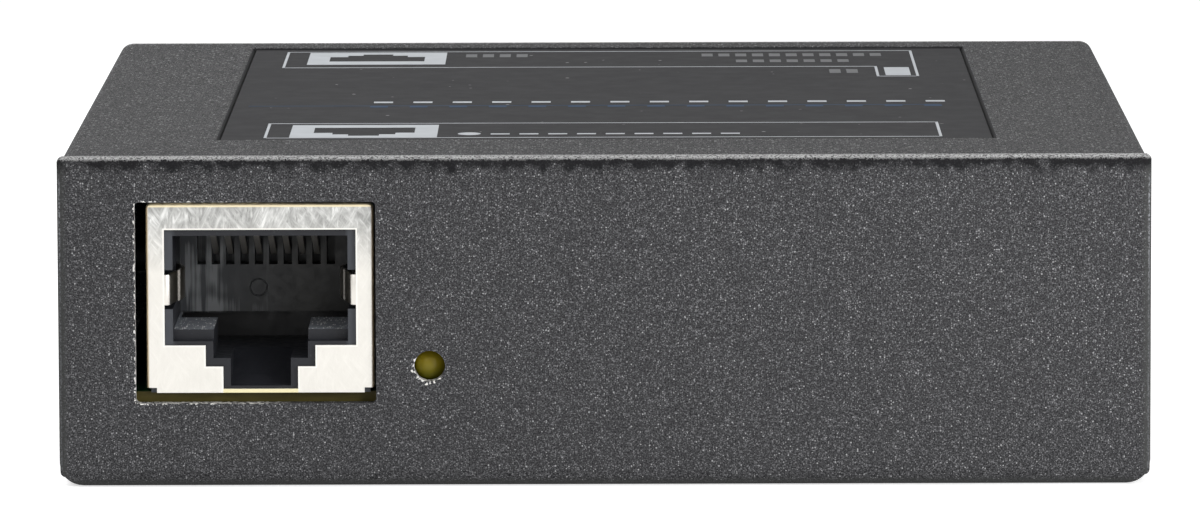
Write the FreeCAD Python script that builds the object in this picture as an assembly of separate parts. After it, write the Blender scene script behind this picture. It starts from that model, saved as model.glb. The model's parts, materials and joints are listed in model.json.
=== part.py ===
import FreeCAD, Part
import math
import os
from FreeCAD import Vector

# A small power-over-ethernet splitter, in millimetres. A tray folded from one steel sheet makes the
# floor and the front and rear panels, and carries the circuit board. A folded cover makes the top and
# the two sides. The origin is the middle of the underside, +Z is up, the front panel faces -Y, and +X
# is to the right as seen from the front.

# Case
case_width = 76.2
case_depth = 80.0
tray_sheet = 1.0
cover_sheet = 0.8
bend_radius = 1.2  # outside of every fold in the case
panel_corner = 1.9  # lower corners of the two panels
front_panel_top_corner = 0.4
paint_round = 0.5  # edges of the panels and of the cover, softened by the paint
panel_seam = 0.1  # between each end of the cover and its panel
cover_lift = 0.4  # the cover's sides stop this far above the underside
cover_corner = 1.2
tab_gap = 0.85  # between each screw tab and the cover's side

# Label and the recess pressed for it in the cover
label_from_left = 10.8
label_from_right = 10.5
label_from_front = 11.0
label_from_rear = 4.5
recess_depth = 0.35
recess_slope = 0.2
film_sheet = 0.2
film_fit = 0.12

# Fasteners, all of one metric size
screw_radius = 1.5
thread_fit = 0.03
sink_head_set = 0.06  # the heads lie this far below the cover's sides
cover_screw_length = 5.0
pan_head_radius = 2.75
pan_head_height = 2.0
board_screw_length = 5.0
cross_length = 3.0
cross_width = 0.6
cross_depth = 0.9

# Screw tabs, one folded up from the middle of each side of the floor
tab_width = 12.0
tab_above_screw = 4.4
tab_relief = 0.8

# Circuit board and what holds it up
board_sheet = 1.6
board_side_gap = 0.95  # between the board and each screw tab
board_gap = 0.3  # between the board and each panel
standoff_height = 4.0
standoff_across = 5.5  # between the flats of the hexagon
clinch_across = 4.2
clinch_fit = 0.02
screw_from_side = 3.5  # of the board
screw_from_end = 4.7
screw_from_jack = 5.2
board_hole_fit = 0.1

# Shielded modular socket, measured from the middle of its face at board level
front_jack_from_side = 14.1  # from the case's left side to the socket's middle
rear_jack_from_side = 14.1
jack_headroom = 2.45  # from the socket up to the cover
jack_width = 15.9
jack_depth = 21.3
jack_height = 13.35
jack_inset = 0.5  # the socket's face lies this far inside the panel's
shield_sheet = 0.25
shield_top_cut = 0.25
shield_notch_width = 0.7
shield_notch_height = 0.35
shield_fit = 0.05
jack_cut_side = 0.44
jack_cut_over = 0.32  # the panel's opening is this far off the socket's middle
jack_cut_top = 0.1
jack_cut_below = 0.7
jack_cut_corner = 0.3

mouth_half = 6.68
mouth_top = 11.45
mouth_floor = 3.33
mouth_step_half = 3.83
mouth_step_floor = 1.84
mouth_latch_half = 2.61
mouth_latch_floor = 0.27

cavity_half = 6.1
cavity_top = 11.0
cavity_floor = 4.3
cavity_depth = 11.1
ledge_start = 1.3  # the side ledges' front faces lie this far behind the shield's face
ledge_lip = 0.25  # height of the moulded edge in front of them
ledge_depth = 7.7
catch_half = 5.9
latch_half = 3.3
latch_floor = 2.4
under_wall_depth = 12.3
channel_half = 2.1
channel_floor = 0.45
channel_flat = 1.2
channel_depth = 6.0

spring_height = 7.22
spring_width = 2.15
spring_mouth_half = 6.2
spring_bow_half = 5.45
spring_bow_depth = 4.6
spring_end_half = 5.95
spring_end_depth = 6.6
spring_bend = 0.3
pocket_half = 6.95
pocket_depth = 7.3
pocket_room = 0.3

window_width = 2.6
window_height = 1.6
window_depth = 12.4
window_level = 8.2
catch_fit = 0.05
solder_tab_width = 1.6
solder_tab_depth = 10.6
solder_tab_length = 3.0
solder_fit = 0.15
peg_across = 3.2
peg_half = 5.7
peg_depth = 8.6
peg_length = 2.8
peg_fit = 0.05

contact_count = 8
comb_count = 10
contact_pitch = 1.02
contact_width = 0.4
contact_sheet = 0.3
contact_fold = 0.35
contact_room = 0.1
contact_run_height = 12.2
contact_front_depth = 3.4
contact_tip_depth = 12.1
contact_tip_height = 8.4
contact_pin_length = 2.8
pin_row_depth = 15.6
pin_row_spacing = 2.54
comb_floor = 7.64
comb_back = 12.8
insert_half = 6.4
insert_end = 20.4
insert_fit = 0.05
pin_hole_half = 0.45

# Round power socket, measured from the middle of its face at board level
power_jack_from_side = 16.1  # from the case's right side to the socket's middle
power_jack_inset = 0.05  # behind the rear panel
power_face_width = 9.0
power_face_depth = 3.4
power_face_corner = 1.0
power_height = 11.0
power_axis_height = 6.5
power_body_width = 8.0
power_body_depth = 14.4
power_bore_radius = 3.2
power_bore_depth = 10.2
power_pin_radius = 1.05
power_pin_set = 0.9
power_tail_width = 2.2
power_tail_sheet = 0.4
power_tail_length = 3.0
power_tail_gap = 0.1
power_pin_tip = 0.47
power_pin_fit = 0.03
power_spring_width = 2.0
power_spring_sheet = 0.3
power_spring_depth = 8.4
power_spring_room = 0.2
power_spring_touch = 0.45
power_spring_rise = 0.9
power_spring_run = 3.9
power_spring_tip = 1.0
power_spring_tip_drop = 0.7
power_hole_radius = 3.7

# Indicator light lying on the board, seen through a small hole
light_from_jack = 11.8
light_radius = 1.5
light_flange_radius = 1.9
light_flange_depth = 1.0
light_length = 5.3
light_dome_steps = 2
light_reach = 0.2  # how far its tip reaches into the panel's hole
light_hole_radius = 1.08
light_lead = 0.5
light_lead_spacing = 2.54
light_lead_run = 1.6

# Parts on the board. A place is the X and Y of a part's middle, a size its width, depth and height.
lead_sheet = 0.2
lead_width = 0.4
lead_slope_share = 0.5  # of a lead's reach, before its flat foot
lead_level_share = 0.45  # of the chip's height
chip_bevel_share = 0.12  # of the chip's height
chip_lift = 0.1
pin_reach = 2.6
bridge_size = (4.7, 3.9, 2.5)
bridge_from_front = 11.5
bridge_x = (2.5, 11.0)
bridge_pitch = 2.54
magnetics_size = (12.7, 9.4, 5.2)
magnetics_from_jack = 2.2  # to the right of the front socket's middle
magnetics_pitch = 1.5
magnetics_lead_count = 8
magnetics_reach = 1.4
controller_size = (5.0, 4.0, 1.7)
controller_place = (3.2, -14.5)
controller_pitch = 1.27
controller_lead_count = 4
transistor_size = (6.5, 6.1, 2.3)
transistor_from_side = 19.1  # from the case's right side
transistor_y = -20.0
transistor_pitch = 4.0
rectifier_size = (6.9, 5.9, 2.3)
rectifier_from_side = 10.5
rectifier_y = 3.0
optocoupler_size = (4.6, 6.5, 3.5)
optocoupler_place = (-6.0, 15.0)
optocoupler_pitch = 2.54
small_chip_size = (1.25, 2.0, 0.7)
small_chip_rows = ((-8.0, -10.8), (1.5, 10.5), (-7.5, 23.5))  # place of the first chip of each row
small_chip_pitch = 2.6
small_chips_in_row = 3
safety_chip_size = (3.2, 4.6, 2.0)
safety_chip_place = (-6.0, 2.0)

core_width = 16.0
core_depth = 14.0
core_thickness = 4.8
core_leg = 2.2
core_middle_leg = 4.0
core_level = 6.2
bobbin_wall = 0.7
bobbin_fit = 0.1
bobbin_lift = 0.3
rail_depth = 3.2
rail_pins = 3
rail_pin_pitch = 5.0
rail_pin_set = 1.0  # from the rail's outer side to its pins
winding_build = 1.55  # from the tube to the outside of the tape
winding_set = 0.45
winding_corner = 1.2
transformer_x = 9.0
transformer_y = -1.0

can_radius = 4.0
can_height = 12.0
input_can_place = (-4.5, -17.0)
output_can_place = (5.5, 21.0)

choke_side = 10.0
choke_height = 5.0
choke_bevel = 1.8
choke_from_side = 16.1
choke_y = 12.3

over = 1.0  # how far a cutter runs past what it cuts
bite = 0.3  # how far a piece's shapes reach into each other where they join

left_side = -case_width / 2
right_side = case_width / 2
front_face = -case_depth / 2
rear_face = case_depth / 2
floor_width = case_width - 2 * (cover_sheet + tab_gap)
board_level = tray_sheet + standoff_height + board_sheet
case_height = board_level + jack_height + jack_headroom + cover_sheet
tab_screw_height = case_height / 2
board_width = floor_width - 2 * (tray_sheet + board_side_gap)
board_depth = case_depth - 2 * (tray_sheet + board_gap)
front_jack_x = left_side + front_jack_from_side
rear_jack_x = left_side + rear_jack_from_side
power_jack_x = right_side - power_jack_from_side
light_x = front_jack_x + light_from_jack
inner_wall_x = case_width / 2 - cover_sheet
sink_depth = (case_width - floor_width) / 2  # from the cover's side to the tab
sink_head_radius = screw_radius + sink_depth

X = Vector(1, 0, 0)
Y = Vector(0, 1, 0)
Z = Vector(0, 0, 1)


# Tools for shapes

def block(x0, x1, y0, y1, z0, z1):
    """A box between two limits along each axis."""
    return Part.makeBox(x1 - x0, y1 - y0, z1 - z0, Vector(x0, y0, z0))


def fused(shapes):
    """The shapes as one, with no leftover seams."""
    return shapes[0].multiFuse(shapes[1:]).removeSplitter()


def rounded_corner(before, corner, after, radius):
    """Start, middle and end of the arc that rounds a corner, or the bare corner."""
    if radius <= 0:
        return corner, None, corner
    back = (before - corner).normalize()
    ahead = (after - corner).normalize()
    half_turn = (math.pi - back.getAngle(ahead)) / 2
    reach = radius * math.tan(half_turn)
    inward = (back + ahead).normalize()
    middle = corner + inward * (radius / math.cos(half_turn) - radius)
    return corner + back * reach, middle, corner + ahead * reach


def joined(corners):
    """Edges through a row of corners, each a start, middle and end."""
    edges = []
    last = None
    for first, middle, end in corners:
        if last is not None and (first - last).Length > 1e-6:
            edges.append(Part.makeLine(last, first))
        if middle is not None:
            edges.append(Part.Arc(first, middle, end).toShape())
        last = end
    return edges


def rounded_loop(points, radius):
    """A closed outline with rounded corners."""
    around = zip(points[-1:] + points[:-1], points, points[1:] + points[:1])
    corners = [rounded_corner(before, corner, after, radius) for before, corner, after in around]
    return Part.Wire(joined(corners + [(corners[0][0], None, corners[0][0])]))


def rounded_prism(points, radius, across):
    """A closed outline with rounded corners, pulled out into a solid."""
    return Part.Face(rounded_loop(points, radius)).extrude(across)


def strip_side(points, normal, shift, bend):
    """One long side of a folded strip: the middle line moved sideways, its folds kept concentric."""
    ways = [(end - start).normalize() for start, end in zip(points, points[1:])]
    lefts = [normal.cross(way) for way in ways]
    moved = [points[0] + lefts[0] * shift]
    radii = []
    for point, left, next_left, next_way in zip(points[1:], lefts, lefts[1:], ways[1:]):
        moved.append(point + (left + next_left) * (shift / (1 + left.dot(next_left))))
        turn = 1 if left.dot(next_way) > 0 else -1
        radii.append(max(bend - turn * shift, 0) if bend > 0 else 0)
    moved.append(points[-1] + lefts[-1] * shift)
    inner = [rounded_corner(*moved[i : i + 3], radius) for i, radius in enumerate(radii)]
    return joined([(moved[0], None, moved[0])] + inner + [(moved[-1], None, moved[-1])])


def folded_strip(points, sheet, bend, normal, width):
    """A strip of sheet folded along points, width wide along normal. bend is to mid-sheet, 0 for sharp."""
    start = points[0] - normal * (width / 2)
    shifted = [start + (point - points[0]) for point in points]
    one = strip_side(shifted, normal, sheet / 2, bend)
    other = strip_side(shifted, normal, -sheet / 2, bend)
    ends = []
    for index in (0, -1):
        way = (shifted[1] - shifted[0]) if index == 0 else (shifted[-1] - shifted[-2])
        side = normal.cross(way.normalize()) * (sheet / 2)
        ends.append(Part.makeLine(shifted[index] + side, shifted[index] - side))
    outline = Part.Wire(Part.__sortEdges__(one + other + ends))
    return Part.Face(outline).extrude(normal * width)


def turned_profile(profile, base, axis):
    """A solid turned about axis from (radius, height) pairs that start and end on the axis."""
    out = X if abs(axis.dot(X)) < 0.5 else Z
    points = [base + out * radius + axis * height for radius, height in profile]
    face = Part.Face(Part.makePolygon(points + points[:1]))
    return face.revolve(base, axis, 360)


def hexagon(across, x, y, z, height):
    """An upright hexagonal bar, across wide between its flats."""
    radius = across / math.sqrt(3)
    corners = []
    for step in range(6):
        angle = math.radians(60 * step)
        corners.append(Vector(x + radius * math.cos(angle), y + radius * math.sin(angle), z))
    return rounded_prism(corners, 0, Z * height)


def runs_along(edge, axis):
    """Whether an edge is straight and parallel to axis."""
    ends = [vertex.Point for vertex in edge.Vertexes]
    if len(ends) < 2 or not isinstance(edge.Curve, Part.Line):
        return False
    return abs((ends[1] - ends[0]).normalize().dot(axis)) > 0.999


def cross_recess(head, axis, side):
    """The cutter for the cross in a screw's head, along axis from its face."""
    other = axis.cross(side)
    arms = []
    for along, beside in ((side, other), (other, side)):
        start = head - along * (cross_length / 2) - beside * (cross_width / 2)
        corners = [Vector(0, 0, 0), along * cross_length, along * cross_length + beside * cross_width]
        corners.append(beside * cross_width)
        outline = Part.makePolygon([start + corner for corner in corners + corners[:1]])
        arms.append(Part.Face(outline).extrude(axis * cross_depth))
    return arms[0].fuse(arms[1])


# Case

def tray_blank():
    """The tray before its holes: floor, front panel and rear panel from one sheet."""
    middle = tray_sheet / 2
    front, rear = front_face + middle, rear_face - middle
    points = [Vector(0, front, case_height), Vector(0, front, middle)]
    points += [Vector(0, rear, middle), Vector(0, rear, case_height)]
    tray = folded_strip(points, tray_sheet, bend_radius - middle, X, case_width)
    for limit in (panel_corners(), upright_edges(), top_edges(), upper_corners()):
        tray = tray.common(limit)
    inner_y = case_depth / 2 - tray_sheet
    for x0, x1 in ((-case_width, -floor_width / 2), (floor_width / 2, case_width)):
        tray = tray.cut(block(x0, x1, -inner_y, inner_y, -over, bend_radius + over))
    return tray


def panel_corners():
    """The tray's limit as seen from the front, with the panels' lower corners rounded."""
    half, high = case_width / 2, 2 * case_height
    outline = [Vector(x, front_face, z) for x, z in ((-half, 0), (half, 0), (half, high), (-half, high))]
    return rounded_prism(outline, panel_corner, Y * case_depth)


def upper_corners():
    """The tray's limit as seen from the front, with each panel's upper corners rounded: a little in
    front, and at the rear like the cover's folds."""
    halves = []
    for y, radius in ((front_face, front_panel_top_corner), (0, bend_radius)):
        corners = [(-1, -case_height), (1, -case_height), (1, case_height), (-1, case_height)]
        outline = [Vector(a * case_width / 2, y, z) for a, z in corners]
        halves.append(rounded_prism(outline, radius, Y * (case_depth / 2)))
    return fused(halves)


def upright_edges():
    """The tray's limit as seen from above, with the panels' upright edges softened by paint."""
    half, y = case_width / 2, case_depth / 2
    outline = [Vector(a * half, b * y, 0) for a, b in ((-1, -1), (1, -1), (1, 1), (-1, 1))]
    return rounded_prism(outline, paint_round, Z * case_height)


def top_edges():
    """The tray's limit as seen from the side, with the panels' top edges softened by paint."""
    y, x = case_depth / 2, -case_width / 2
    outline = [Vector(x, a * y, z) for a, z in ((-1, -case_height), (1, -case_height))]
    outline += [Vector(x, a * y, z) for a, z in ((1, case_height), (-1, case_height))]
    return rounded_prism(outline, paint_round, X * case_width)


def screw_tab(side):
    """One tab folded up from the floor's edge. side is +1 or -1."""
    middle = tray_sheet / 2
    x = side * (floor_width / 2 - middle)
    root = x - side * 3 * bend_radius
    points = [Vector(root, 0, middle), Vector(x, 0, middle), Vector(x, 0, tab_screw_height + tab_above_screw)]
    return folded_strip(points, tray_sheet, bend_radius - middle, Y, tab_width)


def jack_panel_opening(jack_x, turn):
    """The cutter for a socket's opening in a panel. turn is +1 in front and -1 at the rear."""
    middle = jack_x - turn * jack_cut_over
    half = jack_width / 2 + jack_cut_side
    low, high = board_level - jack_cut_below, board_level + jack_height + jack_cut_top
    through = tray_sheet + 2 * over
    y = turn * (front_face - over)
    outline = [Vector(middle - half, y, low), Vector(middle + half, y, low)]
    outline += [Vector(middle + half, y, high), Vector(middle - half, y, high)]
    return rounded_prism(outline, jack_cut_corner, Y * (turn * through))


def base_tray():
    """Floor, panels, screw tabs and every hole in them."""
    tray = tray_blank()
    edge = floor_width / 2
    reach = tab_width / 2 + tab_relief
    through = tray_sheet + 2 * over
    for side in (-1, 1):
        low, high = sorted((side * (edge - bend_radius - tray_sheet), side * (edge + over)))
        tray = tray.cut(block(low, high, -reach, reach, -over, bend_radius))
    tray = fused([tray, screw_tab(-1), screw_tab(1)])
    holes = [jack_panel_opening(front_jack_x, 1), jack_panel_opening(rear_jack_x, -1)]
    light_start = Vector(light_x, front_face - over, board_level + light_flange_radius)
    holes.append(Part.makeCylinder(light_hole_radius, through, light_start, Y))
    power_start = Vector(power_jack_x, rear_face + over, board_level + power_axis_height)
    holes.append(Part.makeCylinder(power_hole_radius, through, power_start, Y * -1))
    for side in (-1, 1):
        start = Vector(side * (edge + over), 0, tab_screw_height)
        holes.append(Part.makeCylinder(screw_radius + thread_fit, through, start, X * -side))
    for x, y in board_screw_places():
        holes.append(hexagon(clinch_across + 2 * clinch_fit, x, y, -over, through))
    return tray.cut(Part.makeCompound(holes))


def label_outline(grow, z):
    """The corners of the label's outline, grown all round."""
    x0, x1 = left_side + label_from_left - grow, right_side - label_from_right + grow
    y0, y1 = front_face + label_from_front - grow, rear_face - label_from_rear + grow
    return [Vector(x0, y0, z), Vector(x1, y0, z), Vector(x1, y1, z), Vector(x0, y1, z)]


def label_pocket(top, spread):
    """A pocket as deep as the recess, its sloping sides spread wider than the label all round."""
    levels = ((top, spread), (top - recess_depth, spread - recess_slope))
    return Part.makeLoft([rounded_loop(label_outline(grow, z), 0) for z, grow in levels], True)


def top_cover():
    """Top and sides from one sheet, with the label's recess and two screw dimples pressed in."""
    length = case_depth - 2 * (tray_sheet + panel_seam)
    half = case_width / 2 - cover_sheet / 2
    top = case_height - cover_sheet / 2
    points = [Vector(-half, 0, cover_lift), Vector(-half, 0, top)]
    points += [Vector(half, 0, top), Vector(half, 0, cover_lift)]
    cover = folded_strip(points, cover_sheet, bend_radius - cover_sheet / 2, Y, length)

    def lower_corner(edge):
        return runs_along(edge, X) and edge.BoundBox.ZMax < cover_lift + 0.01

    cover = cover.makeFillet(cover_corner, [edge for edge in cover.Edges if lower_corner(edge)])
    corners = [(-1, cover_lift), (1, cover_lift), (1, 2 * case_height), (-1, 2 * case_height)]
    outline = [Vector(a * case_width / 2, -length / 2, z) for a, z in corners]
    cover = cover.common(rounded_prism(outline, paint_round, Y * length))
    under = case_height - cover_sheet
    pressed = label_pocket(under, recess_slope + cover_sheet / 2)
    cover = fused([cover, pressed, dimple(-1), dimple(1)])
    cuts = [label_pocket(case_height, recess_slope), screw_sink(-1), screw_sink(1)]
    return cover.cut(Part.makeCompound(cuts))


def dimple(side):
    """The inside of a screw dimple, pressed inwards until it meets its tab. side is +1 or -1."""
    depth = inner_wall_x - floor_width / 2
    radius = sink_head_radius - cover_sheet + cover_sheet * math.sqrt(2)
    start = Vector(side * inner_wall_x, 0, tab_screw_height)
    return Part.makeCone(radius, radius - depth, depth, start, X * -side)


def screw_sink(side):
    """The cone that a screw's head sinks into, down to the tab's thread."""
    face = Vector(side * case_width / 2, 0, tab_screw_height)
    return Part.makeCone(sink_head_radius, screw_radius, sink_depth, face, X * -side)


def cover_screws():
    """A sunk screw on each side, through the cover's dimple into the tray's tab."""
    screws = []
    for side in (-1, 1):
        way = X * -side
        face = Vector(side * (case_width / 2 - sink_head_set), 0, tab_screw_height)
        head = sink_head_radius - sink_head_set - thread_fit
        shank = screw_radius - thread_fit
        profile = [(0, 0), (head, 0), (shank, head - shank), (shank, cover_screw_length)]
        screw = turned_profile(profile + [(0, cover_screw_length)], face, way)
        screws.append(screw.cut(cross_recess(face, way, Y)))
    return Part.makeCompound(screws)


def label_film():
    """The printed film that lies in the cover's recess."""
    outline = label_outline(-film_fit, case_height - recess_depth)
    return rounded_prism(outline, 0, Z * film_sheet)


# Board and its fasteners

def board_screw_places():
    """Where the board is screwed down: on the left behind each socket, on the right in its corners."""
    x = board_width / 2 - screw_from_side
    left_y = rear_face - jack_inset - jack_depth - screw_from_jack
    right_y = board_depth / 2 - screw_from_end
    return [(-x, -left_y), (-x, left_y), (x, -right_y), (x, right_y)]


def board_standoffs():
    """Four hexagonal spacers, each clinched flush into the floor."""
    standoffs = []
    for x, y in board_screw_places():
        clinched = hexagon(clinch_across, x, y, 0, tray_sheet)
        bar = hexagon(standoff_across, x, y, tray_sheet, standoff_height)
        bore_start = Vector(x, y, tray_sheet)
        bore = Part.makeCylinder(screw_radius, standoff_height + over, bore_start)
        standoffs.append(fused([bar, clinched]).cut(bore))
    return Part.makeCompound(standoffs)


def board_screws():
    """Four pan-head screws that hold the board on its standoffs."""
    screws = []
    for x, y in board_screw_places():
        top = Vector(x, y, board_level + pan_head_height)
        reach = pan_head_height + board_screw_length
        shank = screw_radius - thread_fit
        profile = [(0, 0), (pan_head_radius, 0), (pan_head_radius, pan_head_height)]
        profile += [(shank, pan_head_height), (shank, reach), (0, reach)]
        screws.append(turned_profile(profile, top, Z * -1))
    return Part.makeCompound(screws)


def circuit_board():
    """The board with the holes that its sockets, screws and leaded parts need."""
    half_x, half_y = board_width / 2, board_depth / 2
    low = board_level - board_sheet
    board = block(-half_x, half_x, -half_y, half_y, low, board_level)
    cuts = []
    for x, y in board_screw_places():
        radius = screw_radius + board_hole_fit
        cuts.append(Part.makeCylinder(radius, board_sheet + 2 * over, Vector(x, y, low - over)))
    cuts += [at_front(cut) for cut in jack_board_cuts()]
    cuts += [at_rear(cut) for cut in jack_board_cuts()]
    cuts += [at_power(cut) for cut in power_board_cuts()]
    cuts += [lead_cut(x, y) for x, y in lead_places()]
    return board.cut(Part.makeCompound(cuts))


def lead_cut(x, y):
    """The cutter for one leaded part's hole in the board."""
    reach = pin_hole_half
    low, high = board_level - board_sheet - over, board_level + over
    return block(x - reach, x + reach, y - reach, y + reach, low, high)


def lead_places():
    """Every lead that passes through the board, apart from the sockets' own."""
    places = [(light_x + step, light_lead_y()) for step in (-light_lead_spacing / 2, light_lead_spacing / 2)]
    return places + transformer_pin_places()


def straight_lead(x, y, top):
    """One square lead from top down through the board."""
    half = light_lead / 2
    return block(x - half, x + half, y - half, y + half, board_level - pin_reach, top)


# Modular sockets

def at_front(shape):
    """A socket piece moved to the front panel."""
    moved = shape.copy()
    moved.translate(Vector(front_jack_x, front_face + jack_inset, board_level))
    return moved


def at_rear(shape):
    """A socket piece turned round and moved to the rear panel."""
    moved = shape.copy()
    moved.rotate(Vector(0, 0, 0), Z, 180)
    moved.translate(Vector(rear_jack_x, rear_face - jack_inset, board_level))
    return moved


def stepped_outline(steps, y):
    """A closed outline from (half width, height) pairs down one side, mirrored to the other."""
    right = [Vector(half, y, z) for half, z in steps]
    left = [Vector(-half, y, z) for half, z in reversed(steps)]
    return right + left


def jack_shield():
    """The folded metal shell: face, top, sides and back, with ground springs, windows and solder tabs."""
    half = jack_width / 2
    corners = [(half - shield_top_cut, jack_height), (half, jack_height - shield_top_cut)]
    corners += [(half, shield_notch_height), (half - shield_notch_width, shield_notch_height)]
    corners.append((half - shield_notch_width, 0))
    shell = rounded_prism(stepped_outline(corners, 0), 0, Y * jack_depth)
    inner = half - shield_sheet
    hollow = block(-inner, inner, shield_sheet, jack_depth - shield_sheet, -over, jack_height - shield_sheet)
    mouth = [(mouth_half, mouth_top), (mouth_half, mouth_floor), (mouth_step_half, mouth_floor)]
    mouth += [(mouth_step_half, mouth_step_floor), (mouth_latch_half, mouth_step_floor)]
    mouth.append((mouth_latch_half, mouth_latch_floor))
    mouth_cut = rounded_prism(stepped_outline(mouth, -over), 0, Y * (over + 2 * shield_sheet))
    windows = block(-half - over, half + over, *window_limits(0))
    shell = shell.cut(Part.makeCompound([hollow, mouth_cut, windows]))
    springs = [ground_spring(side) for side in (-1, 1)]
    tabs = [solder_tab(side) for side in (-1, 1)]
    return fused([shell] + springs + tabs)


def window_limits(shrink):
    """Y and Z limits of the side windows that the housing's catches snap into."""
    return (
        window_depth + shrink,
        window_depth + window_width - shrink,
        window_level + shrink,
        window_level + window_height - shrink,
    )


def ground_spring(side):
    """A tongue folded in from the side of the mouth, which touches the shield of the plug."""
    inner = shield_sheet / 2
    line = [(mouth_half + shield_sheet, inner), (spring_mouth_half + inner, inner)]
    line += [(spring_bow_half + inner, spring_bow_depth), (spring_end_half + inner, spring_end_depth)]
    points = [Vector(side * x, y, spring_height) for x, y in line]
    return folded_strip(points, shield_sheet, spring_bend, Z, spring_width)


def solder_tab(side):
    """A tab that runs from the shell's side down through the board."""
    half = jack_width / 2
    x0, x1 = sorted((side * half, side * (half - shield_sheet)))
    y0 = solder_tab_depth
    return block(x0, x1, y0, y0 + solder_tab_width, -solder_tab_length, shield_notch_height + over)


def jack_housing():
    """The moulded body: stepped mouth, latch ledges, contact comb, spring pockets, catches and pegs."""
    half = jack_width / 2 - shield_sheet - shield_fit
    top = jack_height - shield_sheet - shield_fit
    face = shield_sheet + shield_fit
    back = jack_depth - shield_sheet - shield_fit
    body = block(-half, half, face, back, 0, top)
    extras = []
    for side in (-1, 1):
        catch_x = side * (jack_width / 2 - catch_fit)
        x0, x1 = sorted((catch_x, side * (half - bite)))
        extras.append(block(x0, x1, *window_limits(catch_fit)))
        extras.append(hexagon(peg_across, side * peg_half, peg_depth, -peg_length, peg_length + bite))
    body = fused([body] + extras)
    cuts = [
        block(-cavity_half, cavity_half, 0, cavity_depth, cavity_floor, cavity_top),
        block(-cavity_half, cavity_half, 0, ledge_start, mouth_floor + ledge_lip, cavity_floor + over),
        block(-latch_half, latch_half, 0, ledge_depth + over, latch_floor, cavity_floor + over),
        block(-catch_half, catch_half, ledge_depth, under_wall_depth, latch_floor, cavity_floor),
        latch_channel(),
        insert_room(),
    ]
    pocket_reach = spring_width / 2 + pocket_room
    low, high = spring_height - pocket_reach, spring_height + pocket_reach
    cuts.append(block(-pocket_half, pocket_half, 0, pocket_depth, low, high))
    cuts += [comb_slot(x) for x in comb_places(comb_count)]
    return body.cut(fused(cuts))


def latch_channel():
    """The cutter for the narrow channel under the latch, whose floor slopes up inwards."""
    profile = [(0, channel_floor), (channel_flat, channel_floor), (channel_depth, latch_floor)]
    profile += [(channel_depth, latch_floor + over), (0, latch_floor + over)]
    points = [Vector(-channel_half, y, z) for y, z in profile]
    return rounded_prism(points, 0, X * (2 * channel_half))


def insert_room():
    """The cutter for the space at the back of the housing that takes the contact carrier."""
    high = contact_run_height + contact_sheet / 2 + contact_room
    return block(-insert_half, insert_half, comb_back, jack_depth, -over, high)


def comb_places(count):
    """The X of each place in the comb."""
    return [(place - (count - 1) / 2) * contact_pitch for place in range(count)]


def comb_slot(x):
    """The cutter for one slot: a groove in the roof that runs down the back wall."""
    half = contact_width / 2 + contact_room
    high = contact_run_height + contact_sheet / 2 + contact_room
    front = contact_front_depth - contact_sheet - contact_room
    inside = cavity_depth - over
    profile = [(front, cavity_top - over), (inside, cavity_top - over), (inside, comb_floor)]
    profile += [(comb_back + over, comb_floor), (comb_back + over, high), (front, high)]
    points = [Vector(x - half, y, z) for y, z in profile]
    return rounded_prism(points, 0, X * (2 * half))


def pin_depth(index):
    """Where a contact's pin stands: every second one is in the rear row."""
    return pin_row_depth + pin_row_spacing * (index % 2)


def jack_insert():
    """The carrier at the back of the socket that the contacts are threaded into."""
    half = insert_half - insert_fit
    high = contact_run_height + contact_sheet / 2 + contact_room - insert_fit
    body = block(-half, half, comb_back + insert_fit, insert_end, 0, high)
    reach_x = contact_width / 2 + contact_room
    reach = contact_sheet / 2 + contact_room
    cuts = []
    for index, x in enumerate(comb_places(contact_count)):
        y = pin_depth(index)
        low = contact_run_height - reach
        profile = [(comb_back, low), (y - reach, low), (y - reach, -over), (y + reach, -over)]
        profile += [(y + reach, high + over), (comb_back, high + over)]
        points = [Vector(x - reach_x, py, pz) for py, pz in profile]
        cuts.append(rounded_prism(points, 0, X * (2 * reach_x)))
    return body.cut(Part.makeCompound(cuts))


def jack_contact(index):
    """One spring contact: pin, riser, run along the roof, and the spring that slopes into the mouth."""
    x = comb_places(contact_count)[index]
    y = pin_depth(index)
    front, high = contact_front_depth, contact_run_height
    line = [(y, -contact_pin_length), (y, high), (front + contact_fold, high)]
    line += [(front, high - contact_fold), (front, high - 2 * contact_fold)]
    line.append((contact_tip_depth, contact_tip_height))
    points = [Vector(x, py, pz) for py, pz in line]
    return folded_strip(points, contact_sheet, 0, X, contact_width)


def jack_board_cuts():
    """Cutters for a socket's pegs, solder tabs and pins, in the socket's own place."""
    deep = board_sheet + over
    outside = jack_width / 2 + solder_fit
    inside = jack_width / 2 - shield_sheet - solder_fit
    cuts = []
    for side in (-1, 1):
        cuts.append(hexagon(peg_across + 2 * peg_fit, side * peg_half, peg_depth, -deep, deep + over))
        x0, x1 = sorted((side * outside, side * inside))
        y0, y1 = solder_tab_depth - solder_fit, solder_tab_depth + solder_tab_width + solder_fit
        cuts.append(block(x0, x1, y0, y1, -deep, over))
    for index, x in enumerate(comb_places(contact_count)):
        y = pin_depth(index)
        reach = pin_hole_half
        cuts.append(block(x - reach, x + reach, y - reach, y + reach, -deep, over))
    return cuts


def jack_pieces():
    """Every piece of one modular socket, by name, in the socket's own place."""
    pieces = {"shield": jack_shield(), "housing": jack_housing(), "insert": jack_insert()}
    for index in range(contact_count):
        pieces[f"contact_{index + 1}"] = jack_contact(index)
    return pieces


# Power socket

def at_power(shape):
    """A power socket piece turned round and moved to the rear panel."""
    moved = shape.copy()
    moved.rotate(Vector(0, 0, 0), Z, 180)
    moved.translate(Vector(power_jack_x, rear_face - tray_sheet - power_jack_inset, board_level))
    return moved


def power_axis(depth):
    """A point on the power socket's axis."""
    return Vector(0, depth, power_axis_height)


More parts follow.
